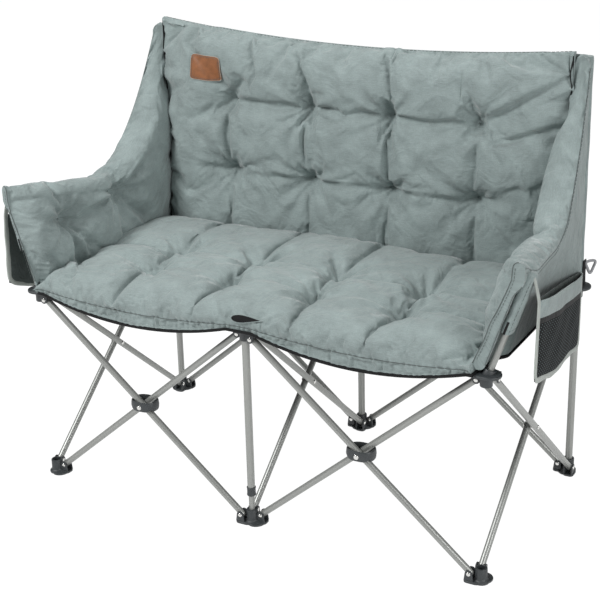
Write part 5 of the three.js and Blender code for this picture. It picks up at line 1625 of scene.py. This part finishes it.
def clips():
    """The oval clips round the front and rear crossings: bulging bands, bosses and a bright rivet."""
    half_x, half_y, half_z, wall = 30 * MM, 23.6 * MM, 11 * MM, 2.5 * MM
    angle = ring_angles(96)[:, None]
    plan = oval(1, 1, 96, 0.8)[:, None]
    lift = oval(0, 1, 16, 0.35)[:, 1]
    across = oval(1, 0, 16, 0.5)[:, 0]
    for row in ROWS:
        for bay, x in (("left", -BAY / 2), ("right", BAY / 2)):
            facing = -1 if row == "front" else 1
            centre = np.array([x, POSTS[row, "centre"].y, PIVOT_HEIGHT + PIVOT_RISE / 2])
            arch = 7.5 * MM * np.exp(-((np.angle(np.exp(1j * (angle - np.radians(212)))) / 0.3) ** 2))
            corner = 5 * MM * np.exp(-((np.angle(np.exp(1j * (angle - np.radians(322)))) / 0.22) ** 2))
            low = -half_z + arch + corner
            height = np.where(lift[None] < 0, -low * lift[None], half_z * lift[None])
            bulge = 1.4 * MM * (1 - (height / half_z) ** 2)
            inset = wall / 2 * (1 - across[None])
            reach_x = half_x - 1.0 * MM + bulge - inset
            reach_y = half_y - 1.0 * MM + bulge - inset
            band = lattice(reach_x * plan[..., 0], -facing * reach_y * plan[..., 1], height)
            shells = [shell(centre + band, ends="ring")]
            inner = PLANE_OFFSET + SLOT_HALF
            for near, far in ((wall / 2 - half_y, -inner), (inner, half_y - wall / 2)):
                shells.append(turned([(6 * MM, near), (6 * MM, far)], centre, 28, "Y"))
            shells.append(turned([(2.4 * MM, -inner), (2.4 * MM, inner)], centre, 16, "Y"))
            head = centre + np.array([0, facing * (half_y + 0.2 * MM), -1 * MM])
            pin = [turned([(4.2 * MM, -2 * MM), (4.2 * MM, 0)], head, 20, "Y"),
                   domed(head, 5.4 * MM, 2.2 * MM, "Y", facing, 24)]
            moulded(f"clip_{row}_{bay}", shells, pin, 32)


def ring_and_webbing():
    """The pale plastic ring in its strip of webbing at the right rear corner."""
    low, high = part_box("webbing")
    x = (low.x + high.x) / 2
    z = np.linspace(low.z, high.z, 40)[:, None]
    thin = oval(1.2 * MM, 0, 16)[:, 0]
    wide = oval(0, (high.y - low.y) / 2, 16, 0.4)[:, 1]
    grid = lattice(x + 0.3 * MM * np.sin(z / (7 * MM)) + thin, (low.y + high.y) / 2 + wide, z)
    made = piece("webbing_strap", [shell(grid)], "sling", body_of_node("webbing"))
    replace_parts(made, "webbing")
    low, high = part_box("ring")
    bar = 3.1 * MM
    corners = ((low.y + bar, high.z - bar), (high.y - bar, high.z - bar), ((low.y + high.y) / 2, low.z + bar))
    outline = eased(corners, 9 * MM, 9)
    turn = np.radians(38)
    middle = (low + high) / 2
    reach = (outline[:, 0] - middle.y) * 1.7 + 10 * MM
    path = lattice(middle.x + reach * np.sin(turn), middle.y + reach * np.cos(turn), outline[:, 1] - 13 * MM)
    facing = (np.cos(turn), -np.sin(turn), 0)
    loop = looped(path, facing, round_section(bar, 14))
    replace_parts(piece("ring_moulded", [loop], "ring", body_of_node("ring")), "ring")


# Stage

def stage():
    """A pale floor, soft studio light and the camera at the photograph's angle."""
    scene = bpy.context.scene
    scene.view_settings.view_transform = "Standard"
    add_floor(scene)
    add_world(scene)
    for name, place, size, power in (
        ("key", (-1.6, -2.4, 3.1), 1.1, 121),
        ("fill", (3.4, -1.5, 1.5), 1.6, 64),
        ("top", (0.2, 0.9, 3.4), 1.4, 40),
    ):
        light = bpy.data.lights.new(name, "AREA")
        light.energy = power
        light.size = size
        lamp = bpy.data.objects.new(name, light)
        scene.collection.objects.link(lamp)
        aim = Vector(place) - Vector((0, 0, 0.5))
        lamp.matrix_world = Matrix.Translation(place) @ aim.to_track_quat("Z", "Y").to_matrix().to_4x4()
    add_camera(scene)


def mixed_by_ray(tree, other_ray, share, lighting, seen):
    """One shader that lights the chair and another that the camera and a second kind of ray see by a share."""
    rays = add_node(tree, "ShaderNodeLightPath").outputs
    either = add_node(tree, "ShaderNodeMath", {0: rays["Is Camera Ray"], 1: rays[other_ray]}, operation="MAXIMUM")
    part = add_node(tree, "ShaderNodeMath", {0: either.outputs[0], 1: share}, operation="MULTIPLY")
    return add_node(tree, "ShaderNodeMixShader", {0: part.outputs[0], 1: lighting, 2: seen}).outputs["Shader"]


def add_floor(scene):
    """A painted floor that lights the chair as pale grey, and looks almost white."""
    half = 40.0
    mesh = bpy.data.meshes.new("floor")
    mesh.from_pydata([(-half, -half, 0), (half, -half, 0), (half, half, 0), (-half, half, 0)], [], [(0, 1, 2, 3)])
    floor = bpy.data.objects.new("floor", mesh)
    scene.collection.objects.link(floor)
    made, tree, shader = new_material("studio_floor_painted")
    fill(tree, shader, {"Base Color": (0.8, 0.8, 0.8), "Roughness": 0.9})
    glow = add_node(tree, "ShaderNodeEmission", {"Color": (1, 1, 1), "Strength": 1.14}).outputs["Emission"]
    mix = mixed_by_ray(tree, "Is Glossy Ray", 0.86, shader.outputs["BSDF"], glow)
    fill(tree, next(node for node in tree.nodes if node.type == "OUTPUT_MATERIAL"), {"Surface": mix})
    mesh.materials.append(made)


def add_world(scene):
    """Even light on the chair, and plain white wherever the camera sees past it."""
    world = bpy.data.worlds.new("studio")
    world.use_nodes = True
    scene.world = world
    tree = world.node_tree
    tree.nodes.clear()
    lit, white = (
        add_node(tree, "ShaderNodeBackground", {"Color": (1, 1, 1), "Strength": strength}).outputs["Background"]
        for strength in (0.22, 1.0))
    mix = mixed_by_ray(tree, "Is Transmission Ray", 1, lit, white)
    add_node(tree, "ShaderNodeOutputWorld", {"Surface": mix})


CAMERA_TURN, CAMERA_TIP, CAMERA_ROLL = np.radians((29.356, 20.807, -1.402))
CAMERA_DISTANCE = 3.0723
FOCAL_PIXELS, PHOTO_PIXELS = 1411.32, 600


def add_camera(scene):
    """The photograph's camera, found from the six feet."""
    turn, tip, roll = CAMERA_TURN, CAMERA_TIP, CAMERA_ROLL
    back_way = Vector((np.sin(turn) * np.cos(tip), -np.cos(turn) * np.cos(tip), np.sin(tip)))
    right = (-back_way).cross(Vector((0, 0, 1))).normalized()
    up = right.cross(-back_way)
    target = Vector((0, 0, 0.4)) - right * 0.0153 + up * 0.0146
    place = target + back_way * CAMERA_DISTANCE
    rolled_right = right * np.cos(roll) + up * np.sin(roll)
    rolled_up = -right * np.sin(roll) + up * np.cos(roll)
    data = bpy.data.cameras.new("camera")
    data.lens = FOCAL_PIXELS / PHOTO_PIXELS * data.sensor_width
    data.clip_end = 200
    camera = bpy.data.objects.new("camera", data)
    scene.collection.objects.link(camera)
    columns = ((*rolled_right, 0), (*rolled_up, 0), (*back_way, 0), (*place, 1))
    camera.matrix_world = Matrix(columns).transposed()
    scene.camera = camera


# Operators and panel

def run(*steps):
    """Runs the steps of an operator, each of which adds a group of pieces."""
    for step in steps:
        step()
    return {"FINISHED"}


class CHAIR_OT_tubes(bpy.types.Operator):
    """Add the scissor tubes and side rivets"""

    bl_idname = "chair.tubes"
    bl_label = "Scissor tubes"

    def execute(self, context):
        return run(tubes)


class CHAIR_OT_posts(bpy.types.Operator):
    """Add the upright, telescoping and arm posts"""

    bl_idname = "chair.posts"
    bl_label = "Posts"

    def execute(self, context):
        return run(posts)


class CHAIR_OT_feet(bpy.types.Operator):
    """Add the six moulded feet"""

    bl_idname = "chair.feet"
    bl_label = "Feet"

    def execute(self, context):
        return run(feet)


class CHAIR_OT_hubs(bpy.types.Operator):
    """Add the six moulded hubs"""

    bl_idname = "chair.hubs"
    bl_label = "Hubs"

    def execute(self, context):
        return run(hubs)


class CHAIR_OT_clips(bpy.types.Operator):
    """Add the clips at the front and rear crossings"""

    bl_idname = "chair.clips"
    bl_label = "Crossing clips"

    def execute(self, context):
        return run(clips)


class CHAIR_OT_seat(bpy.types.Operator):
    """Add the quilted seat and the sling under it"""

    bl_idname = "chair.seat"
    bl_label = "Seat"

    def execute(self, context):
        return run(seat, sling)


class CHAIR_OT_back(bpy.types.Operator):
    """Add the quilted back, its rear cloth and the patch"""

    bl_idname = "chair.back"
    bl_label = "Back"

    def execute(self, context):
        return run(back, back_panel)


class CHAIR_OT_arms(bpy.types.Operator):
    """Add the padded arms"""

    bl_idname = "chair.arms"
    bl_label = "Arms"

    def execute(self, context):
        return run(arms)


class CHAIR_OT_pockets(bpy.types.Operator):
    """Add the side pockets, the ring and its webbing"""

    bl_idname = "chair.pockets"
    bl_label = "Pockets and ring"

    def execute(self, context):
        return run(pockets, ring_and_webbing)


class CHAIR_OT_stage(bpy.types.Operator):
    """Add the floor, lights and camera"""

    bl_idname = "chair.stage"
    bl_label = "Stage"

    def execute(self, context):
        return run(stage)


OPERATORS = (
    CHAIR_OT_tubes, CHAIR_OT_posts, CHAIR_OT_feet, CHAIR_OT_hubs, CHAIR_OT_clips, CHAIR_OT_seat, CHAIR_OT_back,
    CHAIR_OT_arms, CHAIR_OT_pockets, CHAIR_OT_stage,
)


class CHAIR_PT_pieces(bpy.types.Panel):
    """Lists the chair's sizes, colours and pieces."""

    bl_label = "Camping chair"
    bl_space_type = "VIEW_3D"
    bl_region_type = "UI"
    bl_category = "Camping chair"

    def draw(self, context):
        for group in (context.scene.chair_sizes, context.scene.chair_colours):
            for name in group.bl_rna.properties.keys():
                if name not in {"rna_type", "name"}:
                    self.layout.prop(group, name)
        for operator in OPERATORS:
            self.layout.operator(operator.bl_idname)


CLASSES = (ChairColours, ChairSizes, *OPERATORS, CHAIR_PT_pieces)


def register():
    for cls in CLASSES:
        bpy.utils.register_class(cls)
    bpy.types.Scene.chair_colours = PointerProperty(type=ChairColours)
    bpy.types.Scene.chair_sizes = PointerProperty(type=ChairSizes)


def unregister():
    del bpy.types.Scene.chair_sizes
    del bpy.types.Scene.chair_colours
    for cls in reversed(CLASSES):
        bpy.utils.unregister_class(cls)


def main():
    """Builds every group of pieces in order."""
    register()
    for operator in OPERATORS:
        module, name = operator.bl_idname.split(".")
        getattr(getattr(bpy.ops, module), name)()


if __name__ == "__main__":
    main()
